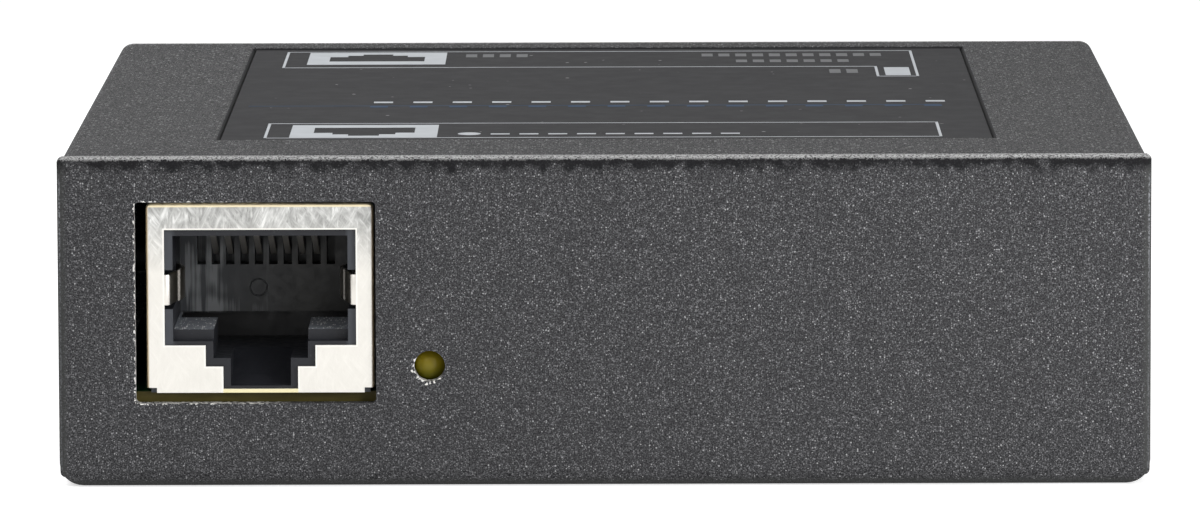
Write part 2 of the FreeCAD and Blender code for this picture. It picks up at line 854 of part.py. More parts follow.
def power_housing():
    """The moulded body: square face, round-backed barrel, bore, and slots for the terminals."""
    half = power_face_width / 2
    face_outline = [Vector(-half, 0, 0), Vector(half, 0, 0)]
    face_outline += [Vector(half, 0, power_height), Vector(-half, 0, power_height)]
    face = rounded_prism(face_outline, power_face_corner, Y * power_face_depth)
    face = face.fuse(block(-half, half, 0, power_face_depth, 0, power_face_corner))
    body_half = power_body_width / 2
    barrel = Part.makeCylinder(body_half, power_body_depth, power_axis(0), Y)
    lower = block(-body_half, body_half, 0, power_body_depth, 0, power_axis_height)
    body = fused([face, barrel, lower])
    cuts = [Part.makeCylinder(power_bore_radius, power_bore_depth, power_axis(0), Y)]
    pin_hole = power_pin_radius + power_pin_fit
    cuts.append(Part.makeCylinder(pin_hole, power_body_depth, power_axis(over), Y))
    room = power_spring_width / 2 + power_spring_room
    spring_high = power_axis_height - power_bore_radius + over
    rear = power_spring_depth + power_spring_sheet / 2 + power_spring_room
    cuts.append(block(-room, room, power_face_depth - over, rear, -over, spring_high))
    return body.cut(fused(cuts))


def power_pin():
    """The turned centre pin and the flat tail behind it, which passes through the board."""
    end = power_body_depth + power_tail_gap
    profile = [(0, power_pin_set), (power_pin_radius - power_pin_tip, power_pin_set)]
    profile += [(power_pin_radius, power_pin_set + power_pin_tip), (power_pin_radius, end + bite)]
    profile.append((0, end + bite))
    pin = turned_profile(profile, power_axis(0), Y)
    half = power_tail_width / 2
    high = power_axis_height + half
    tail = block(-half, half, end, end + power_tail_sheet, -power_tail_length, high)
    return fused([pin, tail])


def power_spring():
    """The leaf that presses on the outside of the plug, folded from one strip."""
    touch = power_axis_height - power_bore_radius + power_spring_touch
    high = touch - power_spring_sheet / 2
    y, tip_y = power_spring_depth, power_spring_depth - power_spring_run
    line = [(y, -power_tail_length), (y, high - power_spring_rise), (tip_y, high)]
    line.append((tip_y - power_spring_tip, high - power_spring_tip_drop))
    points = [Vector(0, py, pz) for py, pz in line]
    return folded_strip(points, power_spring_sheet, 0, X, power_spring_width)


def power_board_cuts():
    """Cutters for the power socket's two terminals."""
    tail_y = power_body_depth + power_tail_gap + power_tail_sheet / 2
    tail = (tail_y, power_tail_width, power_tail_sheet)
    spring = (power_spring_depth, power_spring_width, power_spring_sheet)
    cuts = []
    for y, width, sheet in (tail, spring):
        half_x, half_y = width / 2 + solder_fit, sheet / 2 + solder_fit
        cuts.append(block(-half_x, half_x, y - half_y, y + half_y, -board_sheet - over, over))
    return cuts


# Indicator light

def light_lead_y():
    """Where the light's leads pass through the board."""
    return light_tip_y() + light_length + light_lead_run


def light_tip_y():
    """Where the tip of the light's dome lies."""
    return front_face + tray_sheet - light_reach


def led_lens():
    """The moulded lens: dome, barrel and the flange that lies on the board."""
    tip = Vector(light_x, light_tip_y(), board_level + light_flange_radius)
    profile = [(0, 0)]
    for step in range(1, light_dome_steps + 1):
        angle = math.radians(90 * step / light_dome_steps)
        profile.append((light_radius * math.sin(angle), light_radius * (1 - math.cos(angle))))
    flange_start = light_length - light_flange_depth
    profile += [(light_radius, flange_start), (light_flange_radius, flange_start)]
    profile += [(light_flange_radius, light_length), (0, light_length)]
    return turned_profile(profile, tip, Y)


def led_leads():
    """Two square leads, bent down through the board."""
    start = light_tip_y() + light_length
    height = board_level + light_flange_radius
    leads = []
    for side in (-1, 1):
        x = light_x + side * light_lead_spacing / 2
        line = [(start, height), (light_lead_y(), height), (light_lead_y(), board_level - pin_reach)]
        points = [Vector(x, y, z) for y, z in line]
        leads.append(folded_strip(points, light_lead, 0, X, light_lead))
    return Part.makeCompound(leads)


# Parts on the board

def flat_lead(x, y, side, level, reach):
    """One lead that slopes down from a chip's body towards +Y or -Y and ends flat on the board."""
    foot = board_level + lead_sheet / 2
    line = [(y - side * bite, level), (y, level), (y + side * reach * lead_slope_share, foot)]
    line.append((y + side * reach, foot))
    points = [Vector(x, py, pz) for py, pz in line]
    return folded_strip(points, lead_sheet, 0, X, lead_width)


def chip(place, size, leads, pitch, reach=1.0):
    """A moulded chip with a bevelled top and leads along its two long edges."""
    x, y = place
    width, depth, height = size
    top = board_level + height
    low = board_level + chip_lift
    body = block(x - width / 2, x + width / 2, y - depth / 2, y + depth / 2, low, top)
    edges = [edge for edge in body.Edges if edge.BoundBox.ZMin > top - 1e-3]
    pieces = [body.makeChamfer(height * chip_bevel_share, edges)]
    for index in range(leads):
        lead_x = x + (index - (leads - 1) / 2) * pitch
        for side in (-1, 1):
            level = board_level + height * lead_level_share
            pieces.append(flat_lead(lead_x, y + side * depth / 2, side, level, reach))
    return fused(pieces)


def bridge_rectifiers():
    """Two four-lead bridges, one for each pair of wires that may carry the supply."""
    y = front_face + bridge_from_front
    return Part.makeCompound([chip((x, y), bridge_size, 2, bridge_pitch) for x in bridge_x])


def plain_chip(place, size):
    """A ceramic chip that lies flat on the board."""
    x, y = place
    half_x, half_y = size[0] / 2, size[1] / 2
    return block(x - half_x, x + half_x, y - half_y, y + half_y, board_level, board_level + size[2])


def chip_components():
    """Rows of small resistors and capacitors beside the chips."""
    chips = []
    for first_x, y in small_chip_rows:
        for index in range(small_chips_in_row):
            chips.append(plain_chip((first_x + index * small_chip_pitch, y), small_chip_size))
    return Part.makeCompound(chips)


def core_half(side):
    """One E-shaped half of the transformer's core, its legs meeting the other half's."""
    x0, x1 = transformer_x - core_width / 2, transformer_x + core_width / 2
    low = board_level + core_level - core_thickness / 2
    high = low + core_thickness
    y_end = transformer_y + side * core_depth / 2
    y_back = y_end - side * core_leg
    back = block(x0, x1, *sorted((y_end, y_back)), low, high)
    legs = []
    middle_half = core_middle_leg / 2
    for leg_x0, leg_x1 in (
        (x0, x0 + core_leg),
        (transformer_x - middle_half, transformer_x + middle_half),
        (x1 - core_leg, x1),
    ):
        legs.append(block(leg_x0, leg_x1, *sorted((y_back, transformer_y)), low, high))
    return fused([back] + legs)


def bobbin_half_length():
    """Half the length of the bobbin, which lies between the backs of the core."""
    return core_depth / 2 - core_leg - bobbin_fit


def transformer_bobbin():
    """A tube round the middle leg, two flanges, and pin rails that stand on the board."""
    x, y = transformer_x, transformer_y
    level = board_level + core_level
    hole_x = core_middle_leg / 2 + bobbin_fit
    hole_z = core_thickness / 2 + bobbin_fit
    tube_x, tube_z = hole_x + bobbin_wall, hole_z + bobbin_wall
    length = bobbin_half_length()
    pieces = [block(x - tube_x, x + tube_x, y - length, y + length, level - tube_z, level + tube_z)]
    flange_x = core_width / 2 - core_leg - bobbin_fit
    flange_high = level + tube_z + winding_build + winding_set
    rail_top = level - core_thickness / 2 - bobbin_fit
    for side in (-1, 1):
        y0, y1 = sorted((y + side * length, y + side * (length - bobbin_wall)))
        pieces.append(block(x - flange_x, x + flange_x, y0, y1, board_level + bobbin_lift, flange_high))
        rail_y = sorted((y + side * (length - bobbin_wall), y + side * (length + rail_depth)))
        pieces.append(block(x - core_width / 2, x + core_width / 2, *rail_y, board_level, rail_top))
    body = fused(pieces)
    ends = (y - length - over, y + length + over)
    body = body.cut(block(x - hole_x, x + hole_x, *ends, level - hole_z, level + hole_z))
    pins = [straight_lead(px, py, board_level + bite) for px, py in transformer_pin_places()]
    return fused([body] + pins)


def transformer_pin_places():
    """The transformer's pins, a row in each rail."""
    y_off = bobbin_half_length() + rail_depth - rail_pin_set
    places = []
    for index in range(rail_pins):
        x = transformer_x + (index - (rail_pins - 1) / 2) * rail_pin_pitch
        places += [(x, transformer_y - y_off), (x, transformer_y + y_off)]
    return places


def transformer_winding():
    """The wound wire under its tape, as one turn-round block on the bobbin."""
    x, y = transformer_x, transformer_y
    level = board_level + core_level
    tube_x = core_middle_leg / 2 + bobbin_fit + bobbin_wall
    tube_z = core_thickness / 2 + bobbin_fit + bobbin_wall
    flange_x = core_width / 2 - core_leg - bobbin_fit
    out_x = flange_x - winding_set
    out_z = tube_z + winding_build
    y0 = y - bobbin_half_length() + bobbin_wall
    length = 2 * (bobbin_half_length() - bobbin_wall)
    outline = [Vector(x + a * out_x, y0, level + b * out_z) for a, b in ((-1, -1), (1, -1), (1, 1), (-1, 1))]
    solid = rounded_prism(outline, winding_corner, Y * length)
    ends = (y0 - over, y0 + length + over)
    return solid.cut(block(x - tube_x, x + tube_x, *ends, level - tube_z, level + tube_z))


def capacitor(place):
    """An upright aluminium can that stands on the board."""
    return Part.makeCylinder(can_radius, can_height, Vector(*place, board_level))


def output_choke():
    """A shielded choke: a square block of ferrite with bevelled corners."""
    half, cut = choke_side / 2, choke_side / 2 - choke_bevel
    corners = [(-half, -cut), (-cut, -half), (cut, -half), (half, -cut)]
    corners += [(half, cut), (cut, half), (-cut, half), (-half, cut)]
    middle = Vector(right_side - choke_from_side, choke_y, board_level)
    return rounded_prism([middle + Vector(x, y, 0) for x, y in corners], 0, Z * choke_height)


def board_parts():
    """Every part soldered to the board, by name."""
    magnetics_place = (front_jack_x + magnetics_from_jack, 0)
    transistor_place = (right_side - transistor_from_side, transistor_y)
    rectifier_place = (right_side - rectifier_from_side, rectifier_y)
    return {
        "lan_magnetics": chip(
            magnetics_place, magnetics_size, magnetics_lead_count, magnetics_pitch, magnetics_reach
        ),
        "bridge_rectifiers": bridge_rectifiers(),
        "pd_controller": chip(controller_place, controller_size, controller_lead_count, controller_pitch),
        "switching_transistor": chip(transistor_place, transistor_size, 2, transistor_pitch),
        "output_rectifier": chip(rectifier_place, rectifier_size, 1, 0),
        "optocoupler": chip(optocoupler_place, optocoupler_size, 2, optocoupler_pitch),
        "chip_components": chip_components(),
        "transformer_core_front": core_half(-1),
        "transformer_core_rear": core_half(1),
        "transformer_bobbin": transformer_bobbin(),
        "transformer_winding": transformer_winding(),
        "input_capacitor": capacitor(input_can_place),
        "output_capacitor": capacitor(output_can_place),
        "output_choke": output_choke(),
        "safety_capacitor": plain_chip(safety_chip_place, safety_chip_size),
    }


def all_pieces():
    """Every piece of the splitter, by the name of its file."""
    pieces = {
        "base_tray": base_tray(),
        "top_cover": top_cover(),
        "label_film": label_film(),
        "cover_screws": cover_screws(),
        "circuit_board": circuit_board(),
        "board_standoffs": board_standoffs(),
        "board_screws": board_screws(),
    }
    for name, shape in jack_pieces().items():
        pieces[f"front_jack_{name}"] = at_front(shape)
        pieces[f"rear_jack_{name}"] = at_rear(shape)
    pieces["dc_jack_housing"] = at_power(power_housing())
    pieces["dc_jack_pin"] = at_power(power_pin())
    pieces["dc_jack_spring"] = at_power(power_spring())
    pieces["led_lens"] = led_lens()
    pieces["led_leads"] = led_leads()
    pieces.update(board_parts())
    return pieces


os.makedirs("parts", exist_ok=True)
for name, shape in all_pieces().items():
    shape.exportStep(f"parts/{name}.step")
    print(name, len(shape.Solids), round(shape.Volume, 2), shape.isValid())
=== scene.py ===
import bmesh
import bpy
import json
import math
from mathutils import Matrix, Vector


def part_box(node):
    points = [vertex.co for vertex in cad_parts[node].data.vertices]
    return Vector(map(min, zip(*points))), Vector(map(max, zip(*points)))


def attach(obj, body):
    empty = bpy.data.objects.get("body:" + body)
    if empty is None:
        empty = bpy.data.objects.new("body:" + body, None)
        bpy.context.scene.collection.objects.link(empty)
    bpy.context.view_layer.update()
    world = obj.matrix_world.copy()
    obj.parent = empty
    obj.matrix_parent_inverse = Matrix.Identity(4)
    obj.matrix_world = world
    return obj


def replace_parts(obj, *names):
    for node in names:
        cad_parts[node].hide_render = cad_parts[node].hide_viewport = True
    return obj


# The looks of a small power-over-ethernet splitter: a folded charcoal case with a printed label on
# top, a shielded modular socket and a small amber light in front, and a modular socket and a round
# power socket at the rear. Lengths are written in millimetres and turned into metres by MM.

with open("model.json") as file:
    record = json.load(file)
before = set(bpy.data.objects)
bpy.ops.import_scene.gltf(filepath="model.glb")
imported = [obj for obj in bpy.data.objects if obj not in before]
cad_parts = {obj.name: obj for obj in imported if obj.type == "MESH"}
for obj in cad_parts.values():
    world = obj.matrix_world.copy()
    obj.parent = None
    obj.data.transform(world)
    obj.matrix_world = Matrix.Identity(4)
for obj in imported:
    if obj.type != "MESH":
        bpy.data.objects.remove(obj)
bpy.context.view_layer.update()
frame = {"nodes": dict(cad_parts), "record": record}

MM = 0.001
TINY = 1e-4
SAME_PLACE = 1e-5  # corners that are nearer to one another than this are one corner

# Places on the case
FRONT_FACE = -40.0
CASE_HEIGHT = 23.2
FILM_TOP = 23.05
SOCKET_X = -24.0
SOCKET_FACE = 0.5  # behind the panel's outer face
BOARD_TOP = 6.6
LIGHT_X = -12.2
LIGHT_HEIGHT = 8.5
LIGHT_WINDOW = 1.08  # radius
OPENING_MIDDLE = (SOCKET_X - 0.32, 12.975)  # the front panel's opening for its socket, across and up
OPENING_HALF = (8.09, 6.775)
OPENING_CORNER = 0.3

# The sockets' shield, measured from the middle of its face at board level
SHIELD_HALF = 7.95
SHIELD_DEPTH = 21.3
SHIELD_HEIGHT = 13.35
SHIELD_SHEET = 0.25
SHIELD_FOLD = 0.22
SHIELD_CORNER = 0.4
NOTCH_WIDTH = 0.7
NOTCH_HEIGHT = 0.35
MOUTH_TOP = 11.45
MOUTH_STEPS = ((6.68, 3.33), (3.83, 1.84), (2.61, 0.27))  # half width and lowest height of each step
WINDOW = (12.4, 15.0, 8.2, 9.8)  # Y and Z limits
TAB = (10.6, 12.2, -3.0)  # Y limits and lowest height
LEDGE_HEIGHT = 4.45

# The ground springs: places across and along the socket
SPRING_HEIGHT = 7.22
SPRING_WIDTH = 2.15
SPRING_ROOT = 6.9
SPRING_SIDE = 6.2
SPRING_FACE = 0.02
SPRING_CORNER = 0.3
SPRING_BOW = (5.45, 4.6)
SPRING_END = (5.95, 6.6)

# The photograph's camera
CAMERA_PLACE = (1.55, -661.75, 93.47)
CAMERA_YAW = -0.17
CAMERA_PITCH = 7.125
CAMERA_ROLL = -0.179
CAMERA_LENS = 270.0
CAMERA_SENSOR = 36.0


# Node trees

MIX_FIRST, MIX_SECOND, MIX_RESULT = 6, 7, 2  # a mix node's sockets for colours


def feed(tree, socket, value):
    """Sets a socket to a value, or links it to the socket given as the value. A colour has three
    numbers."""
    if isinstance(value, bpy.types.NodeSocket):
        tree.links.new(value, socket)
    elif socket.type == "RGBA":
        socket.default_value = (*value, 1.0)
    else:
        socket.default_value = value


def feed_all(tree, target, inputs):
    """Feeds the sockets of a node. inputs maps their names or numbers to what each takes."""
    for name, value in inputs.items():
        feed(tree, target.inputs[name], value)


def node(tree, kind, inputs=None, **settings):
    """A new node with its settings and inputs."""
    made = tree.nodes.new(kind)
    for name, value in settings.items():
        setattr(made, name, value)
    feed_all(tree, made, inputs or {})
    return made


def placed(tree, group, inputs):
    """The outputs of one use of a node group."""
    return node(tree, "ShaderNodeGroup", inputs, node_tree=group).outputs


def maths(tree, operation, first, second=0.0):
    """One sum on two numbers."""
    return node(tree, "ShaderNodeMath", {0: first, 1: second}, operation=operation).outputs["Value"]


def vector_maths(tree, operation, *vectors):
    """The outputs of one sum on vectors, which are a Vector and a Value."""
    return node(tree, "ShaderNodeVectorMath", dict(enumerate(vectors)), operation=operation).outputs


def product(tree, first, *others):
    """Two or more numbers multiplied."""
    for other in others:
        first = maths(tree, "MULTIPLY", first, other)
    return first


def largest(tree, first, *others):
    """The largest of two or more numbers."""
    for other in others:
        first = maths(tree, "MAXIMUM", first, other)
    return first


def unsigned(tree, value):
    """A number without its sign."""
    return maths(tree, "ABSOLUTE", value)


def apart(tree, value, middle):
    """How far a length is from another, which is given in millimetres."""
    return unsigned(tree, maths(tree, "SUBTRACT", value, middle * MM))


def ramp(tree, value, low, high, start=0.0, end=1.0):
    """The value stretched from one range to another, and held at its ends."""
    inputs = {"Value": value, "From Min": low, "From Max": high, "To Min": start, "To Max": end}
    return node(tree, "ShaderNodeMapRange", inputs).outputs["Result"]


def ramp_mm(tree, value, low, high, start=0.0, end=1.0):
    """A ramp over a length, with its first range given in millimetres."""
    return ramp(tree, value, low * MM, high * MM, start, end)


def blend_colour(tree, amount, first, second):
    """The colour between two others."""
    inputs = {"Factor": amount, MIX_FIRST: first, MIX_SECOND: second}
    return node(tree, "ShaderNodeMix", inputs, data_type="RGBA").outputs[MIX_RESULT]


def axes(tree, vector):
    """A vector's three numbers, by the names of their axes."""
    return node(tree, "ShaderNodeSeparateXYZ", {"Vector": vector}).outputs


def facing_up(tree):
    """How far the surface faces up: 1 on a level top, 0 on an upright wall."""
    return axes(tree, node(tree, "ShaderNodeNewGeometry").outputs["Normal"])["Z"]


def mapped(tree, vector, **changes):
    """A vector after it is scaled or turned."""
    return node(tree, "ShaderNodeMapping", {"Vector": vector, **changes}).outputs["Vector"]


def noise(tree, vector, scale, detail=2.0, roughness=0.5):
    """Cloudy noise around one half."""
    inputs = {"Vector": vector, "Scale": scale, "Detail": detail, "Roughness": roughness}
    return node(tree, "ShaderNodeTexNoise", inputs).outputs["Fac"]


# Effects that several materials share

def start_group(name, defaults, results):
    """An empty node group with an input called Vector, the inputs that defaults names, and results
    that are numbers. Gives the group, the sockets of its inputs and the node at its end."""
    group = bpy.data.node_groups.new(name, "ShaderNodeTree")
    group.interface.new_socket("Vector", in_out="INPUT", socket_type="NodeSocketVector")
    for label, value in defaults.items():
        kind = "NodeSocketVector" if isinstance(value, tuple) else "NodeSocketFloat"
        group.interface.new_socket(label, in_out="INPUT", socket_type=kind).default_value = value
    for label in results:
        group.interface.new_socket(label, in_out="OUTPUT", socket_type="NodeSocketFloat")
    return group, group.nodes.new("NodeGroupInput").outputs, group.nodes.new("NodeGroupOutput")


def grit_group():
    """Small bright grains on a mottled ground, with the height of their bumps."""
    defaults = {"Scale": 3000.0, "Grains from": 0.6, "Grains to": 0.75}
    group, given, end = start_group("grit", defaults, ("Grains", "Mottle", "Height"))
    where, scale = given["Vector"], given["Scale"]
    mottle_share, bump_share = 0.12, 0.7  # of the grains' scale
    grains = noise(group, where, scale, 1.5, 0.6)
    spread = maths(group, "SUBTRACT", given["Grains to"], given["Grains from"])
    above = maths(group, "SUBTRACT", grains, given["Grains from"])
    feed_all(group, end, {
        "Grains": ramp(group, maths(group, "DIVIDE", above, spread), 0.0, 1.0),
        "Mottle": noise(group, where, product(group, scale, mottle_share), 3.0),
        "Height": noise(group, where, product(group, scale, bump_share)),
    })
    return group


def streaks_group():
    """Fine parallel streaks, drawn out along whichever axis has the smallest stretch."""
    defaults = {"Stretch": (1.0, 1.0, 1.0), "Scale": 1000.0}
    group, given, end = start_group("streaks", defaults, ("Tone", "Height"))
    cloud_share = 0.2  # of the streaks' scale
    drawn = vector_maths(group, "MULTIPLY", given["Vector"], given["Stretch"])["Vector"]
    streaks = noise(group, drawn, given["Scale"], 4.0, 0.65)
    clouds = noise(group, given["Vector"], product(group, given["Scale"], cloud_share))
    tone = product(group, ramp(group, streaks, 0.3, 0.7), ramp(group, clouds, 0.2, 0.65))
    feed_all(group, end, {"Tone": tone, "Height": streaks})
    return group


def specks_group():
    """Round specks of uneven size and brightness, with a share of their cells left empty."""
    defaults = {"Scale": 400.0, "Size": 0.05, "Empty": 0.75}
    group, given, end = start_group("specks", defaults, ("Specks",))
    soft_share, dimmest = 0.3, 0.3
    cell_inputs = {"Vector": given["Vector"], "Scale": given["Scale"]}
    cells = node(group, "ShaderNodeTexVoronoi", cell_inputs).outputs
    chance = node(group, "ShaderNodeSeparateColor", {"Color": cells["Color"]}).outputs
    radius = product(group, ramp(group, chance["Red"], given["Empty"], 1.0), given["Size"])
    inside = maths(group, "SUBTRACT", radius, cells["Distance"])
    filled = ramp(group, inside, 0.0, product(group, given["Size"], soft_share))
    glint = ramp(group, chance["Green"], 0.0, 1.0, dimmest, 1.0)
    feed(group, end.inputs["Specks"], product(group, filled, glint))
    return group


def chipped_lip_group():
    """Where paint has chipped off round an opening that goes through along Y, on the side that
    Towards points to. The opening is a rectangle of the given half size, grown all round by its
    radius; a bare circle has no half size."""
    nowhere = (0.0, 0.0, 0.0)
    upright = (1.0, 0.0, 1.0)
    defaults = {
        "Centre": nowhere,
        "Half size": nowhere,
        "Radius": 1.0 * MM,
        "Width": 0.2 * MM,
        "Towards": (-0.7, 0.0, -0.7),
    }
    group, given, end = start_group("chipped lip", defaults, ("Bare",))
    across = vector_maths(group, "SUBTRACT", given["Vector"], given["Centre"])["Vector"]
    reach = vector_maths(group, "ABSOLUTE", across)["Vector"]
    outside = vector_maths(group, "SUBTRACT", reach, given["Half size"])["Vector"]
    outside = vector_maths(group, "MAXIMUM", outside, nowhere)["Vector"]
    outside = vector_maths(group, "MULTIPLY", outside, upright)["Vector"]
    from_middle = vector_maths(group, "LENGTH", outside)["Value"]
    from_edge = maths(group, "SUBTRACT", from_middle, given["Radius"])
    across = vector_maths(group, "MULTIPLY", across, upright)["Vector"]
    side = vector_maths(group, "DOT_PRODUCT", across, given["Towards"])["Value"]
    ragged = ramp(group, noise(group, given["Vector"], 4500.0, 1.0), 0.5, 0.64)
    width = product(group, ragged, given["Width"], ramp_mm(group, side, -0.2, 0.6))
    within = maths(group, "SUBTRACT", width, from_edge)
    feed(group, end.inputs["Bare"], ramp_mm(group, within, 0.0, 0.02))
    return group


GRIT = grit_group()
STREAKS = streaks_group()
SPECKS = specks_group()
CHIPPED_LIP = chipped_lip_group()


# Materials

# Ranges of the patterns
NOISE = (0.3, 0.7)  # holds nearly all of a noise
GRAIN = (0.36, 0.62)  # the grit's height, from pits to peaks
LEVEL = (0.5, 0.9)  # how far up a surface faces, from upright to level

# Where the case's looks change. Each pair is where a change begins and where it is full.
PANEL_SHEET = (38.95, 39.0)  # from the middle along Y, at the inside of the two panels
ON_FRONT = (-38.9, -39.0)  # the same along Y, for the front panel alone
PANEL_SIDES = (37.35, 37.75)  # from the middle along X
PANEL_FOOT = (0.65, 0.3)  # height
# Painted shade in the slope round the label's recess:
RECESS_SIDES = (34.1, 34.0)  # from the middle along X
RECESS_ENDS = (38.8, 38.7)  # from the middle along Y
RECESS_DEPTH = (0.02, 0.1)  # below the top
# The painted highlight along the panels' top edge, and the painted shade under it:
TOP_EDGE_HIGHLIGHT = (0.27, 0.17)  # below the top
UNDER_HIGHLIGHT_SHADE = (1.15, 0.45)  # below the top
# The painted highlight lines near the panels' sides:
SIDE_HIGHLIGHT = 37.93  # from the middle along X
SIDE_HIGHLIGHT_HALF = (0.09, 0.03)
SIDE_HIGHLIGHT_TOP = (1.2, 2.0)  # below the top
SIDE_HIGHLIGHT_RISE = (13.0, 19.0)  # the heights between which it gets stronger
# The heights over which the lens's painted shade gives way to its upper half:
LENS_SHADE_TO_LIT = (LIGHT_HEIGHT - 0.9, LIGHT_HEIGHT + 0.3)  # height

# Where the sockets' looks change, in the same way. Sides are measured from the socket's middle, and
# faces from the middle of the case along Y.
SHIELD_FRONT = (39.3, 39.35)
# The shield's outer folds, where a painted warm reflection goes:
SHIELD_SIDE_FOLD = (SHIELD_HALF - 0.2, SHIELD_HALF - 0.08)
SHIELD_TOP_FOLD = (19.62, 19.68)  # height
SHIELD_SCRATCHED = (15.0, 18.6)  # height
UNDER_LATCH = (BOARD_TOP + 0.3, BOARD_TOP + 0.24)  # height
UNDER_LATCH_SIDES = (2.64, 2.6)
# The painted highlight round the shield's mouth:
RIM_HIGHLIGHT_OUTER, RIM_HIGHLIGHT_INNER = 0.13, 0.08  # from the edge of the shield's mouth
SPRING_FRONT = (39.1, 39.25)
# The painted highlight line along the ground springs' bend:
SPRING_HIGHLIGHT = 5.78
SPRING_HIGHLIGHT_HALF = (0.09, 0.05)
# The resin's painted highlight round the mouth's rim:
RESIN_FRONT = (38.9, 39.0)
RESIN_SIDES = (5.9, 6.2)
LEDGE_REACH = (0.3, 0.2)  # above and below the ledge
LEDGE_LEVEL = (0.5, 0.8)  # how far up it faces
BACK_WALL = (28.9, 28.7)
# Painted light on the back wall's left, painted reflections in its bands, painted shade at its foot:
BACK_WALL_LIT = (SOCKET_X + 2.5, SOCKET_X - 4.5)  # along X
BACK_WALL_REFLECTIONS = (SOCKET_X + 1.0, SOCKET_X - 3.0)  # along X
BACK_WALL_SHADE = (10.75, 10.6)  # height


def start_material(name, roughness, metallic=0.0, specular=0.5):
    """A material with its own shader, and the place on the object that its patterns follow."""
    material = bpy.data.materials.new(name)
    material.use_nodes = True
    tree = material.node_tree
    shader = tree.nodes["Principled BSDF"]
    shader.inputs["Roughness"].default_value = roughness
    shader.inputs["Metallic"].default_value = metallic
    shader.inputs["Specular IOR Level"].default_value = specular
    return material, tree, shader, node(tree, "ShaderNodeTexCoord").outputs["Object"]


def roughen(tree, shader, height, depth):
    """Bumps the shader's surface by a height pattern that is depth millimetres deep."""
    bump = node(tree, "ShaderNodeBump", {"Height": height, "Distance": depth * MM, "Strength": 1.0})
    feed(tree, shader.inputs["Normal"], bump.outputs["Normal"])


def dimmed(colour, share):
    """A colour with each of its numbers brought down to a share."""
    return tuple(channel * share for channel in colour)


def charcoal_powder_coat():
    """Dark textured paint with a fine sparkle, painted in as bright specks that are painted glints,
    chipped to bare metal round the front openings.
    """
    material, tree, shader, where = start_material("charcoal powder coat", 0.75, specular=0.1)
    grit = placed(tree, GRIT, {"Vector": where, "Scale": 9000.0})
    up = facing_up(tree)
    coat, edge = grained_ground(tree, where, grit, up)
    level = ramp(tree, up, *LEVEL)
    upright = product(tree, ramp(tree, up, 0.9, 0.5, 1.05, 1.0), maths(tree, "SUBTRACT", 1.0, edge))
    drawn = mapped(tree, where, Scale=(1.0, 0.35, 1.0))
    # Painted glints: bright specks put into the coat's colour for its sparkle.
    sparkles = (
        (where, 10500.0, 0.75, 0.0, upright, (0.185, 0.185, 0.193)),
        (where, 6400.0, 0.42, 0.5, upright, (0.42, 0.42, 0.43)),
        (drawn, 4200.0, 0.55, 0.25, level, (0.19, 0.19, 0.192)),
    )
    for vector, scale, size, empty, amount, colour in sparkles:
        inputs = {"Vector": vector, "Scale": scale, "Size": size, "Empty": empty}
        amount = product(tree, placed(tree, SPECKS, inputs)["Specks"], amount)
        coat = blend_colour(tree, amount, coat, colour)
    coat = edge_paint(tree, where, grit, coat)
    bare = chipped_openings(tree, where)
    feed_all(tree, shader, {
        "Base Color": blend_colour(tree, bare, coat, (0.70, 0.69, 0.67)),
        "Metallic": product(tree, bare, 0.7),
    })
    roughen(tree, shader, grit["Height"], 0.04)
    return material


def grained_ground(tree, where, grit, up):
    """The paint's ground, pitted in one way on upright faces and in another on level ones, with painted
    shade that keeps the level ground darker, and how far its grain is smoothed at the panels' sides and
    feet."""
    place = axes(tree, where)
    side = ramp_mm(tree, unsigned(tree, place["X"]), *PANEL_SIDES)
    foot = ramp_mm(tree, place["Z"], *PANEL_FOOT)
    on_panel = ramp_mm(tree, unsigned(tree, place["Y"]), *PANEL_SHEET, 0.0, 0.75)
    edge = product(tree, largest(tree, side, foot), on_panel)
    pores = placed(tree, GRIT, {"Vector": where, "Scale": 14000.0})["Height"]
    pores = ramp(tree, pores, *GRAIN)
    upright = blend_colour(tree, pores, (0.012, 0.012, 0.0133), (0.071, 0.071, 0.0745))
    pits = ramp(tree, grit["Height"], *GRAIN)
    # Painted shade: the level faces' ground is darker than the upright faces'.
    level = blend_colour(tree, pits, (0.002, 0.002, 0.002), (0.054, 0.054, 0.0555))
    ground = blend_colour(tree, ramp(tree, up, *LEVEL), upright, level)
    return blend_colour(tree, edge, ground, (0.055, 0.056, 0.055)), edge


